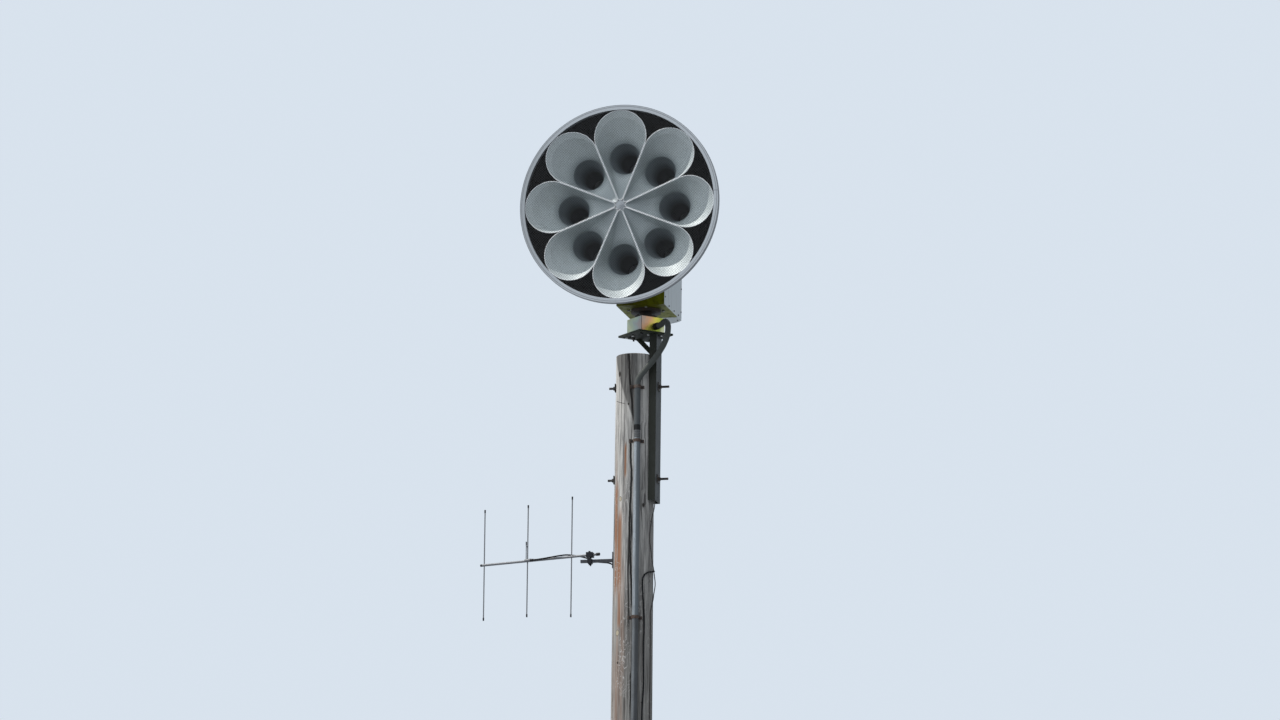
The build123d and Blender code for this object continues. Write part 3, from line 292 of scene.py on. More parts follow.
def rust_on_wood(shade, turn, depth, ridge):
    """How rusty the wood is: a faint stain on the face's left, and the streaks."""
    stain = shade.noise(1.0, 2.5, 0.5, shade.stretched((11.0, 11.0, 0.9))).band(0.50, 0.60)
    face_left = 1.0 - (turn + 0.62).size().band(0.25, 0.62)
    rust = stain * face_left * ridge.band(0.36, 0.58) * depth.band(0.45, 0.75) * 0.4
    for place in STREAKS:
        rust = rust.most(streak(turn, depth, *place))
    return rust * (0.40 + ridge.band(0.38, 0.52) * 0.50)


def scrapes(shade, depth):
    """Thin pale curls in the worn parts of the surface."""
    line = shade.noise(1.0, 2.0, 0.5, shade.stretched((20.0, 20.0, 9.0)), warp=1.8)
    worn = shade.noise(1.0, 2.0, 0.5, shade.stretched((9.0, 9.0, 2.0))).band(0.47, 0.60)
    return (1.0 - (line - 0.5).size().band(0.006, 0.024)) * depth.band(0.25, 0.40) * worn


def cracks(shade, turn, depth):
    """Short drying cracks everywhere, the two long ones, and the one that runs round near the top."""
    crack = 1.0 - shade.noise(1.0, 2.0, 0.5, shade.stretched((42.0, 42.0, 1.1)), warp=0.5).band(0.27, 0.36)
    for stops in (CHECK_ONE, CHECK_TWO):
        crack = crack.most(check_line(shade, turn, depth, stops))
    away = (depth - RING_CRACK_DEPTH - (turn + 0.6) * 0.045).size()
    ring_crack = (1.0 - away.band(0.0012, 0.003)) * (1.0 - (turn + 0.65).size().band(0.25, 0.4))
    return crack.most(ring_crack * 0.8)


def painted_shadow_wedge(turn, depth):
    """A painted shadow of the head: a dark wedge that narrows down the pole's face from its top."""
    slanting_edge = (turn - (depth - 0.048) * 3.0 + 1.08).band(-0.04, 0.08)
    return slanting_edge * (1.0 - turn.band(0.15, 0.5)) * (1.0 - depth.band(0.55, 0.75))


def end_grain(shade):
    """Year rings on the pole's top."""
    wobble = shade.noise(1.0, 2.0, 0.5, shade.stretched((6.0, 6.0, 0.1))) * 0.02
    rings = (wobble + hypotenuse(shade.x, shade.y)) * 900.0
    return shade.mix(rings.sine() * 0.5 + 0.5, RING_DARK, RING_LIGHT)


def weathered_wood():
    """Grey grain with rust, scrapes, cracks and knots, darker further down, and a painted shadow at the top.
    """
    shade = Shade("weathered pole wood", roughness=0.85, specular=0.2)
    turn = shade.x.angle_to(shade.y * -1.0)
    depth = POLE_TOP - shade.z
    fine, ridge, colour = wood_grain(shade)
    colour = shade.mix(depth.band(1.2, 2.0) * 0.55, colour, WOOD_LOWER)
    colour = shade.mix(rust_on_wood(shade, turn, depth, ridge), colour, WOOD_RUST)
    colour = shade.mix(scrapes(shade, depth) * 0.75, colour, WOOD_SCRAPE)
    # Painted shadow of the head on the pole's top
    colour = shade.mix(painted_shadow_wedge(turn, depth) * 0.66, colour, WOOD_PAINTED_SHADOW)
    knots = knot(turn, depth, *KNOTS[0])
    for place in KNOTS[1:]:
        knots = knots.most(knot(turn, depth, *place))
    colour = shade.mix(knots * 0.92, colour, KNOT_DARK)
    for place in PALE_KNOTS:
        pale = knot(turn, depth, *place)
        colour = shade.mix(pale.band(0.02, 0.10) * 0.8, colour, KNOT_EDGE)
        colour = shade.mix(pale.band(0.25, 0.6), colour, KNOT_PALE)
    crack = cracks(shade, turn, depth)
    colour = shade.mix(crack * 0.97, colour, WOOD_CRACK)
    colour = shade.mix(shade.z.band(POLE_TOP - 0.0012, POLE_TOP - 0.0006), colour, end_grain(shade))
    shade.bump(fine * 0.6 + ridge * 0.8 - crack * 2.5 - knots * 0.7, 0.6, 0.006)
    return shade.set(colour, 0.92 - fine * 0.15)


# Below this height the rigid conduit is an older, duller length
CONDUIT_BREAK = 11.29
ZINC_GRIME = (0.08, 0.075, 0.065)
# The colour of the painted shade on the conduit's side towards +X
CONDUIT_PAINTED_SHADE = (0.105, 0.12, 0.13)
CONDUIT_DULL = (0.040, 0.036, 0.034)


def galvanized(name, light, dark, metallic, front=None, dull_below=None):
    """Spangled zinc. front is a dark colour painted on the faces towards -Y as their shade. A height in
    dull_below makes the zinc dull below it, and paints shade on its side towards +X."""
    shade = Shade(name, roughness=0.6, metallic=metallic, specular=0.3)
    spangle = shade.patches(85.0)
    cloud = shade.noise(9.0, 4.0, 0.6)
    grime = shade.noise(1.0, 4.0, 0.6, shade.stretched((26.0, 26.0, 3.0))).band(0.48, 0.70)
    colour = shade.mix(spangle * 0.5 + cloud * 0.5, dark, light)
    colour = shade.mix(grime * 0.5, colour, ZINC_GRIME)
    if front:
        # Painted shade: the faces towards -Y take the front colour
        shaded_front_faces = (shade.facing()[1] * -1.0).band(0.6, 0.8)
        colour = shade.mix(shaded_front_faces * (0.98 - spangle * 0.12), colour, front)
    if dull_below:
        # Painted shade on the conduit's side towards +X
        colour = shade.mix(shade.facing()[0].band(0.0, 0.26) * 0.8, colour, CONDUIT_PAINTED_SHADE)
        below = 1.0 - shade.z.band(dull_below - 0.01, dull_below)
        colour = shade.mix(below * (0.9 - cloud * 0.5), colour, CONDUIT_DULL)
    shade.bump(spangle, 0.06, 0.002)
    return shade.set(colour, 0.5 + cloud * 0.25)


def olive_steel():
    """Nearly black plate steel with paler spots."""
    shade = Shade("dark weathered plate steel", roughness=0.7, metallic=0.2, specular=0.2)
    cloud = shade.noise(14.0, 5.0, 0.6)
    spot = shade.noise(60.0, 3.0, 0.6).band(0.55, 0.68)
    colour = shade.mix(cloud.band(0.3, 0.7), (0.008, 0.011, 0.006), (0.032, 0.037, 0.024))
    colour = shade.mix(spot * 0.4, colour, (0.10, 0.095, 0.07))
    shade.bump(cloud, 0.15, 0.002)
    return shade.set(colour, 0.5 + cloud * 0.3)


def dark_bolts():
    """Blackened bolt steel with a little rust."""
    shade = Shade("weathered bolt steel", roughness=0.6, metallic=0.4)
    cloud = shade.noise(45.0, 4.0, 0.6)
    colour = shade.mix(cloud.band(0.45, 0.65), (0.022, 0.022, 0.023), (0.075, 0.055, 0.042))
    shade.bump(cloud, 0.3, 0.001)
    return shade.set(colour, 0.5 + cloud * 0.3)


def bright_zinc():
    """Clean zinc, near white, partly a painted highlight of the glint on the bolt heads."""
    shade = Shade("bright zinc bolt", roughness=0.35, metallic=0.3)
    cloud = shade.noise(70.0, 3.0, 0.6)
    # Near white colour partly stands in for the glint on the bolt heads
    return shade.set(shade.mix(cloud, (0.75, 0.76, 0.74), (0.95, 0.95, 0.93)), 0.3 + cloud * 0.2)


BOX_TURN = math.radians(45.0)
BOX_LOW = 13.25
BOX_SIDE = 0.0895
BOX_SEAM = (0.035, 0.03, 0.025)
# Colours of the zinc film: a place on its way from thin to thick, and the colour there
FRONT_FILM = [(0.14, (0.62, 0.44, 0.34)), (0.30, (0.95, 0.50, 0.24)), (0.46, (0.95, 0.80, 0.12)),
              (0.60, (0.52, 0.58, 0.07)), (0.74, (0.30, 0.36, 0.05)), (0.92, (0.80, 0.78, 0.48))]
SIDE_FILM = [(0.25, (0.36, 0.30, 0.28)), (0.45, (0.33, 0.38, 0.36)), (0.65, (0.38, 0.44, 0.33)),
             (0.85, (0.40, 0.42, 0.28))]
FRAME_FILM = [(0.32, (0.070, 0.060, 0.006)), (0.45, (0.100, 0.100, 0.004)), (0.55, (0.135, 0.145, 0.006)),
              (0.70, (0.200, 0.190, 0.012))]


def yellow_zinc():
    """The passivated zinc film changes colour across each face of the box."""
    shade = Shade("iridescent yellow zinc", roughness=0.38, metallic=0.7)
    along = (shade.x - HORN_X) * math.cos(BOX_TURN) + shade.y * math.sin(BOX_TURN)
    across = shade.y * math.cos(BOX_TURN) - (shade.x - HORN_X) * math.sin(BOX_TURN)
    cloud = shade.noise(11.0, 3.0, 0.55, warp=0.7)
    fine = shade.noise(120.0, 3.0, 0.6)
    front = shade.ramp(along * 3.3 + (shade.z - BOX_LOW) * -2.2 + cloud * 0.5 + 0.36, FRONT_FILM)
    side = shade.ramp(across * 2.6 + (shade.z - BOX_LOW) * 2.0 + cloud * 0.9, SIDE_FILM)
    colour = shade.mix((across * -1.0).band(BOX_SIDE, BOX_SIDE + 0.001), side, front)
    seam = 1.0 - ((along + BOX_SIDE).size() + (across + BOX_SIDE).size()).band(0.0025, 0.004)
    colour = shade.mix(seam * 0.8, colour, BOX_SEAM)
    return shade.set(colour, 0.30 + fine * 0.15)


def olive_zinc():
    """Olive film on the head's frame, dirty, with grease round the turning flange."""
    shade = Shade("olive yellow zinc", roughness=0.6, metallic=0.5, specular=0.05)
    film = shade.noise(6.0, 3.0, 0.55, warp=0.8)
    dirt = shade.noise(24.0, 4.0, 0.6).band(0.5, 0.7)
    colour = shade.ramp(film, FRAME_FILM)
    under = 1.0 - shade.z.band(HEAD_FLOOR + 0.0005, HEAD_FLOOR + 0.0015)
    grease = (1.0 - (hypotenuse(shade.x - HORN_X, shade.y) + film * 0.06).band(0.11, 0.17)) * under
    colour = shade.mix(dirt * 0.45, colour, (0.028, 0.020, 0.010))
    colour = shade.mix(grease * 0.9, colour, (0.010, 0.007, 0.004))
    return shade.set(colour, 0.52 + dirt * 0.25)


def brown_iron():
    """Oiled cast iron, brown in places."""
    shade = Shade("oiled brown iron", roughness=0.6, metallic=0.2)
    cloud = shade.noise(30.0, 4.0, 0.6)
    colour = shade.mix(cloud.band(0.35, 0.7), (0.007, 0.005, 0.004), (0.045, 0.024, 0.014))
    shade.bump(cloud, 0.3, 0.002)
    return shade.set(colour, 0.45 + cloud * 0.35)


def silver_paint(name, light, dark, soil=0.35):
    """Silver grey paint with runs of dirt, chips and a fine peel."""
    shade = Shade(name, roughness=0.45, metallic=0.15)
    cloud = shade.noise(3.5, 4.0, 0.55)
    peel = shade.noise(260.0, 2.0, 0.5)
    run = shade.noise(1.0, 4.0, 0.6, shade.stretched((34.0, 34.0, 3.5))).band(0.52, 0.74)
    chip = (1.0 - shade.cells(26.0).band(0.03, 0.06)) * shade.noise(6.0, 2.0).band(0.54, 0.62)
    colour = shade.mix(cloud, dark, light)
    colour = shade.mix(run * soil, colour, (0.17, 0.165, 0.15))
    colour = shade.mix(chip * 0.6, colour, (0.10, 0.09, 0.08))
    shade.bump(peel, 0.04, 0.0015)
    return shade.set(colour, 0.38 + cloud * 0.2)


RIM_GROOVE = 0.6655
RIM_EDGE = 0.6735
RIM_SEAM_Z = 14.026
RIM_DARK = (0.12, 0.12, 0.13)


def rim_paint():
    """Silver paint on the rim, with the groove round its face, its dark edge, the seam at its right and
    painted shade on its left.
    """
    shade = Shade("silver rim paint", roughness=0.45, metallic=0.1)
    cloud = shade.noise(5.0, 4.0, 0.55)
    fleck = shade.noise(70.0, 3.0, 0.6).band(0.60, 0.70)
    reach = hypotenuse(shade.x - HORN_X, shade.z - HORN_Z)
    groove = 1.0 - (reach - RIM_GROOVE).size().band(0.0016, 0.0034)
    seam = (1.0 - (shade.z - RIM_SEAM_Z).size().band(0.0015, 0.003)) * shade.x.band(0.6, 0.62)
    colour = shade.mix(cloud, (0.40, 0.43, 0.455), (0.50, 0.53, 0.555))
    colour = shade.mix(fleck * 0.25, colour, (0.22, 0.22, 0.21))
    colour = shade.mix((groove * 0.55).most(seam * 0.8), colour, RIM_DARK)
    # Painted shade on the rim's left side
    colour = shade.mix((shade.x * -1.0).band(0.25, 0.58) * 0.4, colour, (0.20, 0.215, 0.225))
    colour = shade.mix(reach.band(RIM_EDGE, RIM_EDGE + 0.002) * 0.7, colour, (0.07, 0.072, 0.078))
    shade.bump(1.0 - groove, 0.3, 0.002)
    return shade.set(colour, 0.38 + cloud * 0.2)


CELL_SILVER = ((0.53, 0.585, 0.595), (0.64, 0.695, 0.695))
CELL_GRIME = (0.40, 0.44, 0.41)
CELL_PAINTED_SHADE_THROAT = (0.24, 0.27, 0.28)
CELL_PAINTED_SHADE_HUB = (0.20, 0.235, 0.26)
CELL_CHIP = (0.16, 0.17, 0.16)
THROAT_PAINTED_SHADE = (0.10, 0.125, 0.145)
THROAT_PAINTED_DARK = (0.008, 0.010, 0.013)
CELL_OUTSIDE = (0.030, 0.028, 0.026)


def cell_paint(number):
    """Silver paint inside a horn cell, with painted shade towards its hub and its throat and down the throat,
    and bare dark metal outside.
    """
    shade = Shade(f"horn cell {number} paint", roughness=0.5, metallic=0.05)
    turn = 2 * math.pi / CELL_COUNT * (number - 1)
    from_x = shade.x - (HORN_X + THROAT_CIRCLE * math.sin(turn))
    from_z = shade.z - (HORN_Z + THROAT_CIRCLE * math.cos(turn))
    cloud = shade.noise(4.5, 4.0, 0.55)
    grime = shade.noise(12.0, 4.0, 0.6)
    chip = (1.0 - shade.cells(22.0).band(0.04, 0.08)) * shade.noise(7.0, 2.0).band(0.58, 0.63)
    near_throat = 1.0 - hypotenuse(from_x, from_z).band(0.10, 0.16)
    near_hub = 1.0 - hypotenuse(shade.x - HORN_X, shade.z - HORN_Z).band(0.05, 0.25)
    depth = shade.y - CELL_FRONT
    colour = shade.mix(cloud, *CELL_SILVER)
    colour = shade.mix(grime.band(0.45, 0.75) * 0.25, colour, CELL_GRIME)
    # Painted shade round the throat's mouth
    colour = shade.mix(near_throat * 0.35, colour, CELL_PAINTED_SHADE_THROAT)
    # Painted shade near the hub
    colour = shade.mix(near_hub * 0.5, colour, CELL_PAINTED_SHADE_HUB)
    colour = shade.mix(chip * 0.5, colour, CELL_CHIP)
    # Painted shade, darker further down the throat
    colour = shade.mix(depth.band(0.120, 0.175) * 0.70, colour, THROAT_PAINTED_SHADE)
    colour = shade.mix(depth.band(0.20, 0.36) * 0.97, colour, THROAT_PAINTED_DARK)
    facing = shade.facing()
    outside = (from_x * facing[0] + from_z * facing[2]).band(-0.002, 0.002)
    colour = shade.mix(outside, colour, CELL_OUTSIDE)
    return shade.set(colour, 0.45 + cloud * 0.15)


# The shell's inner wall: its radius at the mouth, where that is, and how fast it narrows
SHELL_MOUTH = 0.676
SHELL_MOUTH_Y = -0.791
SHELL_TAPER = 0.5010


def shell_paint():
    """Silver paint on the shell's outside, nearly black inside it."""
    shade = Shade("horn shell paint", roughness=0.6, metallic=0.05)
    cloud = shade.noise(4.0, 4.0, 0.6)
    run = shade.noise(20.0, 4.0, 0.6).band(0.5, 0.72)
    outside = shade.mix(cloud, (0.42, 0.45, 0.47), (0.55, 0.58, 0.60))
    outside = shade.mix(run * 0.35, outside, (0.2, 0.19, 0.17))
    inside = shade.mix(cloud.band(0.42, 0.62), (0.008, 0.007, 0.006), (0.024, 0.019, 0.015))
    wall = SHELL_MOUTH - (shade.y - SHELL_MOUTH_Y) * SHELL_TAPER
    inner = 1.0 - (hypotenuse(shade.x - HORN_X, shade.z - HORN_Z) - wall).band(0.0004, 0.0012)
    return shade.set(shade.mix(inner, outside, inside), 0.55 + cloud * 0.2)


COLLAR_FOOT = 12.564
RINGS_FOOT = 12.5


def connector_finish():
    """The black collar above and the ringed grey body below."""
    shade = Shade("conduit connector", roughness=0.5, specular=0.2)
    cloud = shade.noise(60.0, 3.0, 0.6)
    body = shade.mix(cloud, (0.10, 0.104, 0.106), (0.17, 0.175, 0.178))
    rings = ((shade.z - RINGS_FOOT) * 520.0).sine().band(0.2, 0.7)
    body = shade.mix(rings * 0.6, body, (0.03, 0.03, 0.03))
    collar = shade.z.band(COLLAR_FOOT - 0.001, COLLAR_FOOT + 0.001)
    return shade.set(shade.mix(collar, body, (0.006, 0.006, 0.006)), 0.45 + cloud * 0.15)


def plain(name, light, dark, roughness, metallic=0.0, scale=30.0, specular=0.5):
    """Two cloudy shades of one colour."""
    shade = Shade(name, roughness=roughness, metallic=metallic, specular=specular)
    cloud = shade.noise(scale, 4.0, 0.6)
    shade.bump(cloud, 0.12, 0.001)
    return shade.set(shade.mix(cloud, dark, light), roughness - 0.08 + cloud * 0.16)


LOOP_FOOT = 12.84
LOOP_GREY = (0.110, 0.117, 0.106)


def conduit_jacket():
    """Grey plastic, a little greener on the loop above the top strap."""
    shade = Shade("grey conduit jacket", roughness=0.65, specular=0.12)
    cloud = shade.noise(30.0, 4.0, 0.6)
    colour = shade.mix(cloud, (0.082, 0.090, 0.094), (0.122, 0.134, 0.138))
    colour = shade.mix(shade.z.band(LOOP_FOOT, LOOP_FOOT + 0.1) * 0.8, colour, LOOP_GREY)
    shade.bump(cloud, 0.12, 0.001)
    return shade.set(colour, 0.58 + cloud * 0.14)


RUST_TO_ZINC = [(0.35, (0.035, 0.024, 0.020)), (0.5, (0.075, 0.042, 0.027)), (0.62, (0.13, 0.105, 0.09)),
                (0.75, (0.24, 0.23, 0.22))]


def rusty_strap():
    """Strap steel from dark rust to worn zinc."""
    shade = Shade("rusty strap steel", roughness=0.75, metallic=0.25)
    cloud = shade.noise(40.0, 5.0, 0.65)
    colour = shade.ramp(cloud, RUST_TO_ZINC)
    shade.bump(cloud, 0.35, 0.0015)
    return shade.set(colour, 0.6 + cloud * 0.25)


finishes = {
    "weathered_wood": weathered_wood(),
    # The post's front colour is painted shade on its faces towards -Y
    "galvanized_post": galvanized("dull galvanized post", (0.062, 0.068, 0.070), (0.032, 0.036, 0.037),
                                  metallic=0.1, front=(0.012, 0.013, 0.007)),
    "olive_steel": olive_steel(),
    "dark_bolts": dark_bolts(),
    "yellow_zinc": yellow_zinc(),
    "olive_zinc": olive_zinc(),
    "brown_iron": brown_iron(),
    "cover_paint": silver_paint("silver cover paint", (0.63, 0.68, 0.69), (0.54, 0.585, 0.59)),
    "rim_paint": rim_paint(),
    "cell_paint": cell_paint(1),
    "shell_paint": shell_paint(),
    "black_plastic": plain("black fitting plastic", (0.018, 0.018, 0.020), (0.008, 0.008, 0.009),
                           roughness=0.5, specular=0.2),
    "grey_conduit": conduit_jacket(),
    "galvanized_conduit": galvanized("galvanized conduit", (0.36, 0.395, 0.42), (0.21, 0.23, 0.245),
                                     metallic=0.2),
    "strap_steel": rusty_strap(),
    "cabinet_paint": silver_paint("grey cabinet paint", (0.52, 0.54, 0.54), (0.43, 0.45, 0.45), soil=0.5),
    # Darker than bare aluminium: painted shade, as the antenna is seen against the bright sky
    "antenna_aluminium": plain("dull aluminium", (0.22, 0.225, 0.235), (0.12, 0.123, 0.128),
                               roughness=0.5, metallic=0.3, scale=18.0),
    "black_cable": plain("black cable jacket", (0.012, 0.012, 0.014), (0.006, 0.006, 0.007),
                         roughness=0.6, specular=0.12),
    "ground_copper": plain("tarnished ground wire", (0.06, 0.05, 0.045), (0.022, 0.019, 0.018),
                           roughness=0.6, metallic=0.3),
}
# Finishes of single pieces, in place of the one that their slot has
own_finishes = {
    "rigid_conduit": galvanized("conduit in two lengths", (0.42, 0.46, 0.49), (0.27, 0.295, 0.315),
                                metallic=0.2, dull_below=CONDUIT_BREAK),
    "conduit_connector": connector_finish(),
    # The clamp and the arm are weathered dark metal, darkened further with painted shade against the bright
    # sky
    "antenna_clamp": plain("dark clamp casting", (0.030, 0.031, 0.036), (0.010, 0.010, 0.013),
                           roughness=0.6, metallic=0.2, specular=0.15),
    "antenna_arm": galvanized("dark weathered arm", (0.075, 0.078, 0.088), (0.022, 0.023, 0.028),
                              metallic=0.2),
    "horn_wire_screen": plain("wire screen", (0.10, 0.103, 0.107), (0.06, 0.062, 0.065),
                              roughness=0.6, metallic=0.2),
    # Near white: the edge's light paint and a painted highlight of the sun along it
    "cell_edges": plain("bright cell edge paint", (0.97, 0.98, 0.98), (0.86, 0.89, 0.90),
                        roughness=0.4, metallic=0.1),
    "bright_bolts": bright_zinc(),
    "dull_bolts": plain("dull zinc bolt", (0.30, 0.30, 0.27), (0.12, 0.12, 0.10),
                        roughness=0.5, metallic=0.3),
}
for cell_number in range(1, CELL_COUNT + 1):
    own_finishes[f"horn_cell_{cell_number}"] = cell_paint(cell_number)


def dress_frame():
    """Gives every carried-over node its own finish or the finish of its slot."""
    for entry in frame["record"]["subparts"]:
        obj = nodes[entry["node"]]
        material = own_finishes.get(entry["node"], finishes[entry["material_slot"]])
        obj.data.materials.clear()
        obj.data.materials.append(material)


dress_frame()


# Pieces

SMOOTH_ANGLE = math.radians(35.0)


def finish_piece(bm, name, slot, body, look=None):
    """Makes an object of a finished bmesh, dresses it and puts it on its body."""
    bmesh.ops.remove_doubles(bm, verts=bm.verts, dist=1e-6)
    bmesh.ops.recalc_face_normals(bm, faces=bm.faces)
    mesh = bpy.data.meshes.new(name)
    bm.to_mesh(mesh)
    bm.free()
    mesh.polygons.foreach_set("use_smooth", [True] * len(mesh.polygons))
    mesh.set_sharp_from_angle(angle=SMOOTH_ANGLE)
    obj = bpy.data.objects.new(name, mesh)
    scene.collection.objects.link(obj)
    obj.data.materials.append(own_finishes[look] if look else finishes[slot])
    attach(obj, body)
    return obj


def aim(start, direction):
    """The placing of a shape that stands along Z so that it stands on start and points along direction."""
    return Matrix.Translation(Vector(start)) @ Vector(direction).to_track_quat("Z", "Y").to_matrix().to_4x4()


def add_rod(bm, start, end, radius, segments=12, far_radius=None):
    """A round bar from one point to another, straight or tapered."""
    run = Vector(end) - Vector(start)
    place = aim(start, run) @ Matrix.Translation((0, 0, run.length / 2))
    far_radius = radius if far_radius is None else far_radius
    bmesh.ops.create_cone(bm, cap_ends=True, segments=segments, radius1=radius, radius2=far_radius,
                          depth=run.length, matrix=place)


def add_bolt_head(bm, foot, out, radius, height, segments=6):
    """A bolt or screw head with a chamfered top."""
    out = Vector(out).normalized()
    shoulder = Vector(foot) + out * height * 0.75
    add_rod(bm, foot, shoulder, radius, segments)
    add_rod(bm, shoulder, shoulder + out * height * 0.25, radius, segments, radius * 0.8)


def start_ring(bm, place, radius, segments):
    """The first ring of edges of a bent bar."""
    verts = bmesh.ops.create_circle(bm, segments=segments, radius=radius, matrix=place)["verts"]
    return list({edge for vert in verts for edge in vert.link_edges})


def edges_between(geometry):
    """The edges whose two ends are both among the given vertices."""
    verts = {item for item in geometry if isinstance(item, bmesh.types.BMVert)}
    edges = {edge for vert in verts for edge in vert.link_edges}
    return [edge for edge in edges if set(edge.verts) <= verts]


def run_straight(bm, ring, step):
    """Takes a bent bar on along a straight and returns its last ring."""
    geometry = bmesh.ops.extrude_edge_only(bm, edges=ring)["geom"]
    verts = [item for item in geometry if isinstance(item, bmesh.types.BMVert)]
    bmesh.ops.translate(bm, verts=verts, vec=step)
    return edges_between(verts)


def run_round(bm, ring, centre, axis, angle, steps):
    """Takes a bent bar on round an arc and returns its last ring."""
    geometry = ring + list({vert for edge in ring for vert in edge.verts})
    swung = bmesh.ops.spin(bm, geom=geometry, cent=centre, axis=axis, angle=angle, steps=steps)
    return edges_between(swung["geom_last"])


def on_pole(angle, z, stand_off=0.0):
    """A point at the pole's surface. The angle runs from -Y towards +X, in degrees."""
    reach = POLE_FOOT_RADIUS - (POLE_FOOT_RADIUS - POLE_TOP_RADIUS) * z / POLE_TOP + stand_off
    turn = math.radians(angle)
    return Vector((reach * math.sin(turn), -reach * math.cos(turn), z))


# Horn

SCREEN_RADIUS = 0.6475
SCREEN_Y = -0.8215
SCREEN_PITCH = 0.0127
SCREEN_WIRE = 0.0009


def wire_screen():
    """A square weave of thin wires, set on the diagonal, cut to the rim's circle."""
    bm = bmesh.new()
    count = int(SCREEN_RADIUS / SCREEN_PITCH)
    for layer, turn in enumerate((math.radians(45), math.radians(-45))):
        for number in range(-count, count + 1):
            across = number * SCREEN_PITCH
            half = math.sqrt(SCREEN_RADIUS ** 2 - across ** 2)
            place = (Matrix.Translation((HORN_X, SCREEN_Y + layer * SCREEN_WIRE, HORN_Z))
                     @ Matrix.Rotation(turn, 4, "Y") @ Matrix.Translation((across, 0, 0))
                     @ Matrix.Diagonal((SCREEN_WIRE, SCREEN_WIRE, 2 * half, 1)))
            bmesh.ops.create_cube(bm, size=1.0, matrix=place)
    screen = finish_piece(bm, "horn_wire_screen", "rim_paint", "head", "horn_wire_screen")
    screen.visible_shadow = False
    return screen


CELL_SLOPE = math.sin(math.pi / CELL_COUNT)
CELL_JOINT = 0.0026
LIP_REACH = 0.6457
CELL_RECESS = 0.030
CELL_FAR = LIP_REACH / (1 + CELL_SLOPE)
CELL_NEAR = 0.050
EDGE_RADIUS = 0.0028


def cell_edges():
    """The rounded edge round each cell's mouth, near white, which also stands in for the sunlit highlight
    along it.
    """
    bm = bmesh.new()
    lean = math.pi / CELL_COUNT
    side = Vector((math.sin(lean), 0, math.cos(lean)))
    far_radius = CELL_FAR * CELL_SLOPE - CELL_JOINT
    near_radius = CELL_NEAR * CELL_SLOPE - CELL_JOINT
    near = Vector((near_radius * math.cos(lean), 0, CELL_NEAR - near_radius * math.sin(lean)))
    far = Vector((far_radius * math.cos(lean), 0, CELL_FAR - far_radius * math.sin(lean)))
    recess = Matrix.Rotation(math.atan(CELL_RECESS / LIP_REACH), 4, "X")
    lip = Vector((0, 0, LIP_REACH))
    horn = (Matrix.Translation((HORN_X, CELL_FRONT + EDGE_RADIUS * 0.4, HORN_Z))
            @ Matrix.Translation(lip) @ recess @ Matrix.Translation(-lip))
    ring = start_ring(bm, horn @ aim(near, side), EDGE_RADIUS, 8)
    axis = recess @ Vector((0, -1, 0))
    ring = run_straight(bm, ring, recess @ (far - near))
    ring = run_round(bm, ring, horn @ Vector((0, 0, CELL_FAR)), axis, math.pi + 2 * lean, 48)
    ring = run_straight(bm, ring, recess @ Vector((far.x - near.x, 0, near.z - far.z)))
    run_round(bm, ring, horn @ Vector((0, 0, CELL_NEAR)), axis, math.pi - 2 * lean, 12)
    bmesh.ops.remove_doubles(bm, verts=bm.verts, dist=1e-6)
    step = 2 * math.pi / CELL_COUNT
    bmesh.ops.spin(bm, geom=bm.verts[:] + bm.edges[:] + bm.faces[:], cent=(HORN_X, 0, HORN_Z), axis=(0, 1, 0),
                   angle=step * (CELL_COUNT - 1), steps=CELL_COUNT - 1, use_duplicate=True)
    return finish_piece(bm, "cell_edges", "rim_paint", "head", "cell_edges")


wire_screen()
cell_edges()


# Head

HEAD_LEFT = -0.096
HEAD_RIGHT = 0.232
HEAD_FRONT_Y = -0.168
HEAD_REAR_Y = 0.350
COVER = 0.002
SCREW_RADIUS = 0.0055
CORNER_SCREW_RADIUS = 0.006
SCREW_HEIGHT = 0.004
SCREW_SEGMENTS = 10
# Heights above the head's floor, and places along Y
EDGE_SCREW_HEIGHTS = (0.055, 0.215, 0.375, 0.535, 0.695)
EDGE_SCREW_ROWS = (HEAD_FRONT_Y + 0.020, HEAD_REAR_Y - 0.018)
LOWER_SCREW_HEIGHT = 0.016
LOWER_SCREW_ROWS = (-0.03, 0.12, 0.25)
CORNER_SCREWS_Y = HEAD_REAR_Y - 0.022
CORNER_SCREW_INSET = 0.02


def cover_screws():
    """Small screws along the edges of the side covers, and one under each rear corner of the floor."""
    bm = bmesh.new()
    for side, edge in ((-1, HEAD_LEFT), (1, HEAD_RIGHT)):
        wall = edge + side * COVER
        places = [(wall, y, HEAD_FLOOR + z) for z in EDGE_SCREW_HEIGHTS for y in EDGE_SCREW_ROWS]
        places += [(wall, y, HEAD_FLOOR + LOWER_SCREW_HEIGHT) for y in LOWER_SCREW_ROWS]
        for place in places:
            add_bolt_head(bm, place, (side, 0, 0), SCREW_RADIUS, SCREW_HEIGHT, SCREW_SEGMENTS)
        corner = (edge - side * CORNER_SCREW_INSET, CORNER_SCREWS_Y, HEAD_FLOOR)
        add_bolt_head(bm, corner, (0, 0, -1), CORNER_SCREW_RADIUS, SCREW_HEIGHT, SCREW_SEGMENTS)
    return finish_piece(bm, "cover_screws", "dark_bolts", "head")


FLANGE_BOLT_CIRCLE = 0.118
FLANGE_BOLTS = 4
FLANGE_BOLT_TURN = 13.0
FLANGE_BOLT_RADIUS = 0.0095
FLANGE_BOLT_HEIGHT = 0.008


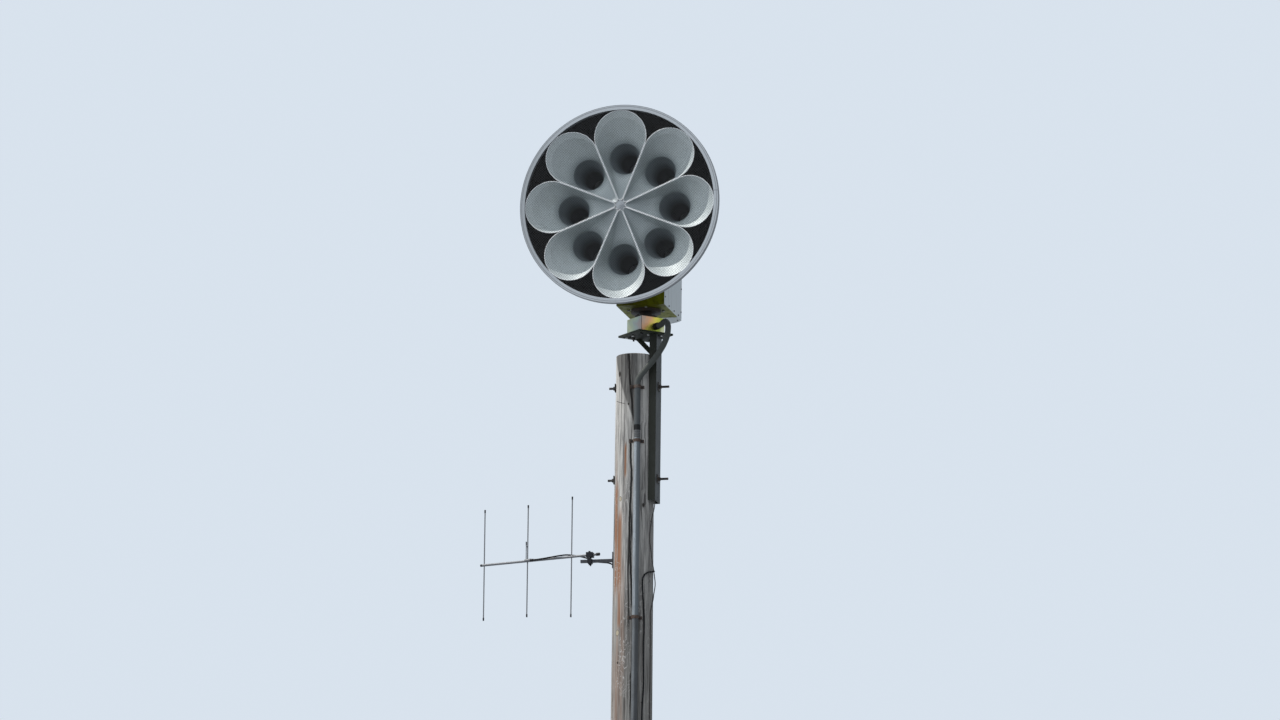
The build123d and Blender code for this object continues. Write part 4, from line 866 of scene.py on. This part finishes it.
def flange_bolts():
    """Bolt heads under the head's floor, round the turning flange."""
    bm = bmesh.new()
    for number in range(FLANGE_BOLTS):
        turn = math.radians(360.0 / FLANGE_BOLTS * number + FLANGE_BOLT_TURN)
        x = HORN_X + FLANGE_BOLT_CIRCLE * math.sin(turn)
        y = -FLANGE_BOLT_CIRCLE * math.cos(turn)
        add_bolt_head(bm, (x, y, HEAD_FLOOR), (0, 0, -1), FLANGE_BOLT_RADIUS, FLANGE_BOLT_HEIGHT)
    return finish_piece(bm, "flange_bolt_heads", "dark_bolts", "head", "dull_bolts")


cover_screws()
flange_bolts()


# Plate and post

PLATE_UNDER = 13.237
PLATE_BOLTS = ((-0.066, 0.010), (-0.009, -0.047), (0.101, -0.068), (0.179, -0.013), (0.145, 0.080),
               (-0.008, 0.096))
PLATE_BOLT_RADIUS = 0.0085
PLATE_BOLT_HEIGHT = 0.007
LONG_BOLT = Vector((-0.022, 0.030, PLATE_UNDER))
LONG_BOLT_END = Vector((0, 0, -0.022))
LONG_BOLT_RADIUS = 0.006
LONG_BOLT_NUT_RADIUS = 0.0105
LONG_BOLT_NUT_HEIGHT = 0.009


def plate_bolts():
    """Bright bolt heads under the mount plate, and one long bolt whose end hangs below it."""
    bm = bmesh.new()
    for x, y in PLATE_BOLTS:
        add_bolt_head(bm, (x, y, PLATE_UNDER), (0, 0, -1), PLATE_BOLT_RADIUS, PLATE_BOLT_HEIGHT)
    finish_piece(bm, "plate_bolt_heads", "dark_bolts", "tower", "bright_bolts")
    bm = bmesh.new()
    add_rod(bm, LONG_BOLT, LONG_BOLT + LONG_BOLT_END, LONG_BOLT_RADIUS)
    add_bolt_head(bm, LONG_BOLT, (0, 0, -1), LONG_BOLT_NUT_RADIUS, LONG_BOLT_NUT_HEIGHT)
    finish_piece(bm, "plate_long_bolt", "dark_bolts", "tower")


plate_bolts()


# Antenna

CLAMP_X = -0.298
BOOM_Z = 11.752
BOOM_TURN = math.radians(16.5)
BOOM_DIR = Vector((-math.cos(BOOM_TURN), math.sin(BOOM_TURN), 0))
BOOM_SIDE = Vector((BOOM_DIR.y, -BOOM_DIR.x, 0))
BOOM_ENDS = (-0.072, 0.853)
BOOM_RADIUS = 0.008
ELEMENT_RADIUS = 0.004
# Each element's distance from the clamp, and its length
ELEMENTS = ((0.143, 0.822), (0.486, 0.766), (0.825, 0.760))
# The matching rod: its distance from the clamp and to the boom's side, and its top above the boom
MATCHING_ALONG = 0.486
MATCHING_SIDE = -0.0193
MATCHING_TOP = 0.128
MATCHING_CAP_RADIUS = 0.0042
MATCHING_CAP_DEPTH = 0.024
CAP_WALL = 0.0014
CAP_END = 0.0008
ELEMENT_CAP_DEPTH = 0.020
BOOM_CAP_DEPTH = 0.022
# The far end of the boom is closed by a thin plug cap
PLUG_CAP_WALL = 0.0004
PLUG_CAP_END = 0.0002
PLUG_CAP_DEPTH = 0.014
# The plug of the cable, from the feed block towards the clamp
PLUG_START = 0.452
PLUG_STEP = 0.020
PLUG_RADIUS = 0.0088
PLUG_WAIST = 0.0070
PLUG_END_RADIUS = 0.0058


def boom_point(along, side=0.0, up=0.0):
    """A point on or beside the boom, by its distance from the clamp."""
    return Vector((CLAMP_X, 0, BOOM_Z)) + BOOM_DIR * along + BOOM_SIDE * side + Vector((0, 0, up))


def antenna_caps():
    """Black caps on the ends of the boom, the elements and the matching rod."""
    bm = bmesh.new()
    for along, length in ELEMENTS:
        for end in (-1, 1):
            tip = boom_point(along, up=end * (length / 2 + CAP_END))
            add_rod(bm, tip, tip - Vector((0, 0, end * ELEMENT_CAP_DEPTH)), ELEMENT_RADIUS + CAP_WALL)
    near, far = BOOM_ENDS
    add_rod(bm, boom_point(near - CAP_END), boom_point(near + BOOM_CAP_DEPTH), BOOM_RADIUS + 2 * CAP_WALL)
    far_radius = BOOM_RADIUS + PLUG_CAP_WALL
    add_rod(bm, boom_point(far - PLUG_CAP_END), boom_point(far - PLUG_CAP_DEPTH), far_radius, 20)
    top = boom_point(MATCHING_ALONG, MATCHING_SIDE, MATCHING_TOP + CAP_END)
    foot = boom_point(MATCHING_ALONG, MATCHING_SIDE, MATCHING_TOP - MATCHING_CAP_DEPTH)
    add_rod(bm, top, foot, MATCHING_CAP_RADIUS)
    return finish_piece(bm, "antenna_end_caps", "black_plastic", "tower")


def feed_connector():
    """The plug that joins the cable to the feed block."""
    bm = bmesh.new()
    start, middle, end = (boom_point(PLUG_START - step * PLUG_STEP, MATCHING_SIDE) for step in range(3))
    add_rod(bm, start, middle, PLUG_RADIUS, 16)
    add_rod(bm, middle, end, PLUG_WAIST, 16, PLUG_END_RADIUS)
    return finish_piece(bm, "feed_connector", "black_plastic", "tower")


antenna_caps()
feed_connector()


# Fastenings on the pole

CABLE_RADIUS = 0.005
CABLE_ANGLE = 42.0
CABLE_GAP = 0.0003
CABLE_STAPLES = (11.46, 10.72, 10.0, 9.2, 8.4, 7.6, 6.8, 6.0, 5.2, 4.4, 3.6, 2.8)
WIRE_RADIUS = 0.00325
WIRE_GAP = 0.0008
# The ground wire shifts a little round the pole at WIRE_SHIFT
WIRE_SHIFT = 11.5
WIRE_ANGLE_BELOW = 72.0
WIRE_ANGLE_ABOVE = 70.0
WIRE_STAPLES = (11.96, 11.20, 10.5, 9.7, 8.9, 8.1, 7.3, 6.5, 5.7, 4.9, 4.1, 3.3, 2.5, 1.7, 0.9, 0.2)
STAPLE_WIRE = 0.0016
STAPLE_BITE = 0.004


def add_staple(bm, angle, z, radius, stand_off):
    """A wire staple over a cable, with its two legs driven into the pole."""
    middle = on_pole(angle, z, stand_off)
    out = Vector((middle.x, middle.y, 0)).normalized()
    across = Vector((-out.y, out.x, 0))
    leg = out * (stand_off + STAPLE_BITE)
    foot = middle - leg + across * (radius + STAPLE_WIRE)
    ring = start_ring(bm, aim(foot, out), STAPLE_WIRE, 6)
    ring = run_straight(bm, ring, leg)
    ring = run_round(bm, ring, middle, (0, 0, 1), math.pi, 8)
    run_straight(bm, ring, -leg)


def staples():
    """Staples over the cable and the ground wire all the way down the pole."""
    bm = bmesh.new()
    for z in CABLE_STAPLES:
        add_staple(bm, CABLE_ANGLE, z, CABLE_RADIUS, CABLE_RADIUS + CABLE_GAP)
    for z in WIRE_STAPLES:
        angle = WIRE_ANGLE_BELOW if z < WIRE_SHIFT else WIRE_ANGLE_ABOVE
        add_staple(bm, angle, z, WIRE_RADIUS, WIRE_RADIUS + WIRE_GAP)
    return finish_piece(bm, "wire_staples", "dark_bolts", "tower")


# The straps' depths below the pole's top: one on the flexible conduit, nine on the rigid one
STRAP_DROPS = [0.236] + [0.607 + 1.203 * number for number in range(9)]
CONDUIT_ANGLE = 19.0
EAR_REACH = 0.036
LAG_RADIUS = 0.0042
LAG_BITE = 0.0030
LAG_LENGTH = 0.0085
LAG_HEAD_FOOT = 0.0050
LAG_HEAD_RADIUS = 0.0068
LAG_HEAD_HEIGHT = 0.0060


def strap_screws():
    """Two lag screw heads on the ears of each conduit strap."""
    bm = bmesh.new()
    for drop in STRAP_DROPS:
        z = POLE_TOP - drop
        middle = on_pole(CONDUIT_ANGLE, z)
        out = Vector((middle.x, middle.y, 0)).normalized()
        across = Vector((-out.y, out.x, 0))
        for hand in (-1, 1):
            foot = middle + across * hand * EAR_REACH - out * LAG_BITE
            add_rod(bm, foot, foot + out * LAG_LENGTH, LAG_RADIUS)
            add_bolt_head(bm, foot + out * LAG_HEAD_FOOT, out, LAG_HEAD_RADIUS, LAG_HEAD_HEIGHT)
    return finish_piece(bm, "strap_screws", "dark_bolts", "tower")


staples()
strap_screws()


# Camera, light and floor

CAMERA_AZIMUTH = 13.2
CAMERA_ELEVATION = 12.5
CAMERA_ROLL = 0.65
CAMERA_DISTANCE = 50.0
PIXELS_PER_METRE = 148.5
IMAGE_WIDTH = 1280
IMAGE_HEIGHT = 720
# Where the middle of the pole's top stands in the photograph
POLE_TOP_PIXEL = (635.6, 357.0)
SENSOR_WIDTH = 36.0


def make_camera():
    """The photograph's view: from far off and low down, looking up, with a long lens."""
    azimuth = math.radians(CAMERA_AZIMUTH)
    elevation = math.radians(CAMERA_ELEVATION)
    roll = math.radians(CAMERA_ROLL)
    forward = Vector((-math.sin(azimuth) * math.cos(elevation), math.cos(azimuth) * math.cos(elevation),
                      math.sin(elevation)))
    right = Vector((math.cos(azimuth), math.sin(azimuth), 0.0))
    up = right.cross(forward)
    turned_right = right * math.cos(roll) + up * math.sin(roll)
    turned_up = up * math.cos(roll) - right * math.sin(roll)
    focal = PIXELS_PER_METRE * CAMERA_DISTANCE
    aside = (POLE_TOP_PIXEL[0] - IMAGE_WIDTH / 2) / focal
    above = (IMAGE_HEIGHT / 2 - POLE_TOP_PIXEL[1]) / focal
    sight = forward + aside * turned_right + above * turned_up
    eye = Vector((0.0, 0.0, POLE_TOP)) - CAMERA_DISTANCE * sight
    data = bpy.data.cameras.new("camera")
    data.sensor_width = SENSOR_WIDTH
    data.lens = SENSOR_WIDTH * focal / IMAGE_WIDTH
    data.clip_end = 500.0
    camera = bpy.data.objects.new("camera", data)
    scene.collection.objects.link(camera)
    turn = Matrix((turned_right, turned_up, -forward)).transposed().to_4x4()
    camera.matrix_world = Matrix.Translation(eye) @ turn
    scene.camera = camera


def sun_lamp(name, azimuth, elevation, strength, angle, colour):
    """A distant lamp. azimuth is where it stands, from -Y towards +X. All the angles are in degrees."""
    data = bpy.data.lights.new(name, "SUN")
    data.energy = strength
    data.angle = math.radians(angle)
    data.color = colour
    lamp = bpy.data.objects.new(name, data)
    scene.collection.objects.link(lamp)
    turn = math.radians(azimuth)
    rise = math.radians(elevation)
    towards = Vector((math.sin(turn) * math.cos(rise), -math.cos(turn) * math.cos(rise), math.sin(rise)))
    lamp.rotation_euler = towards.to_track_quat("Z", "Y").to_euler()


LIGHT_FROM_ABOVE = 0.42
LIGHT_FROM_BELOW = 0.20
SKY_LIGHT = (0.84, 0.91, 1.0, 1.0)
SKY_BACKDROP = (0.69, 0.765, 0.85, 1.0)
FLOOR_RADIUS = 4.5
FLOOR_GREY = (0.55, 0.56, 0.57)


def make_world():
    """Soft sky light, with a plain pale backdrop behind the object."""
    world = bpy.data.worlds.new("pale sky")
    world.use_nodes = True
    tree = world.node_tree
    light = tree.nodes["Background"]
    light.inputs["Color"].default_value = SKY_LIGHT
    place = tree.nodes.new("ShaderNodeTexCoord")
    parts = tree.nodes.new("ShaderNodeSeparateXYZ")
    height = tree.nodes.new("ShaderNodeMapRange")
    height.interpolation_type = "SMOOTHSTEP"
    height.inputs["From Min"].default_value = -0.35
    height.inputs["From Max"].default_value = 0.25
    height.inputs["To Min"].default_value = LIGHT_FROM_BELOW
    height.inputs["To Max"].default_value = LIGHT_FROM_ABOVE
    tree.links.new(place.outputs["Generated"], parts.inputs["Vector"])
    tree.links.new(parts.outputs["Z"], height.inputs["Value"])
    tree.links.new(height.outputs["Result"], light.inputs["Strength"])
    shown = tree.nodes.new("ShaderNodeBackground")
    shown.inputs["Color"].default_value = SKY_BACKDROP
    shown.inputs["Strength"].default_value = 1.0
    path = tree.nodes.new("ShaderNodeLightPath")
    mix = tree.nodes.new("ShaderNodeMixShader")
    seen = path.outputs["Is Camera Ray"]
    for kind in ("Is Glossy Ray", "Is Transmission Ray"):
        either = tree.nodes.new("ShaderNodeMath")
        either.operation = "MAXIMUM"
        tree.links.new(seen, either.inputs[0])
        tree.links.new(path.outputs[kind], either.inputs[1])
        seen = either.outputs["Value"]
    tree.links.new(seen, mix.inputs["Fac"])
    tree.links.new(light.outputs["Background"], mix.inputs[1])
    tree.links.new(shown.outputs["Background"], mix.inputs[2])
    tree.links.new(mix.outputs["Shader"], tree.nodes["World Output"].inputs["Surface"])
    scene.world = world


def make_floor():
    """The plain pale floor at the ground line."""
    bm = bmesh.new()
    bmesh.ops.create_circle(bm, cap_ends=True, segments=96, radius=FLOOR_RADIUS)
    mesh = bpy.data.meshes.new("floor")
    bm.to_mesh(mesh)
    bm.free()
    floor = bpy.data.objects.new("floor", mesh)
    scene.collection.objects.link(floor)
    shade = Shade("pale floor", roughness=0.9)
    floor.data.materials.append(shade.set(FLOOR_GREY))


make_camera()
sun_lamp("key", azimuth=-78.5, elevation=59.0, strength=2.9, angle=0.6, colour=(1.0, 0.97, 0.93))
sun_lamp("fill", azimuth=-20.0, elevation=22.0, strength=1.05, angle=50.0, colour=(0.90, 0.95, 1.0))
make_world()
make_floor()
scene.view_settings.view_transform = "Standard"
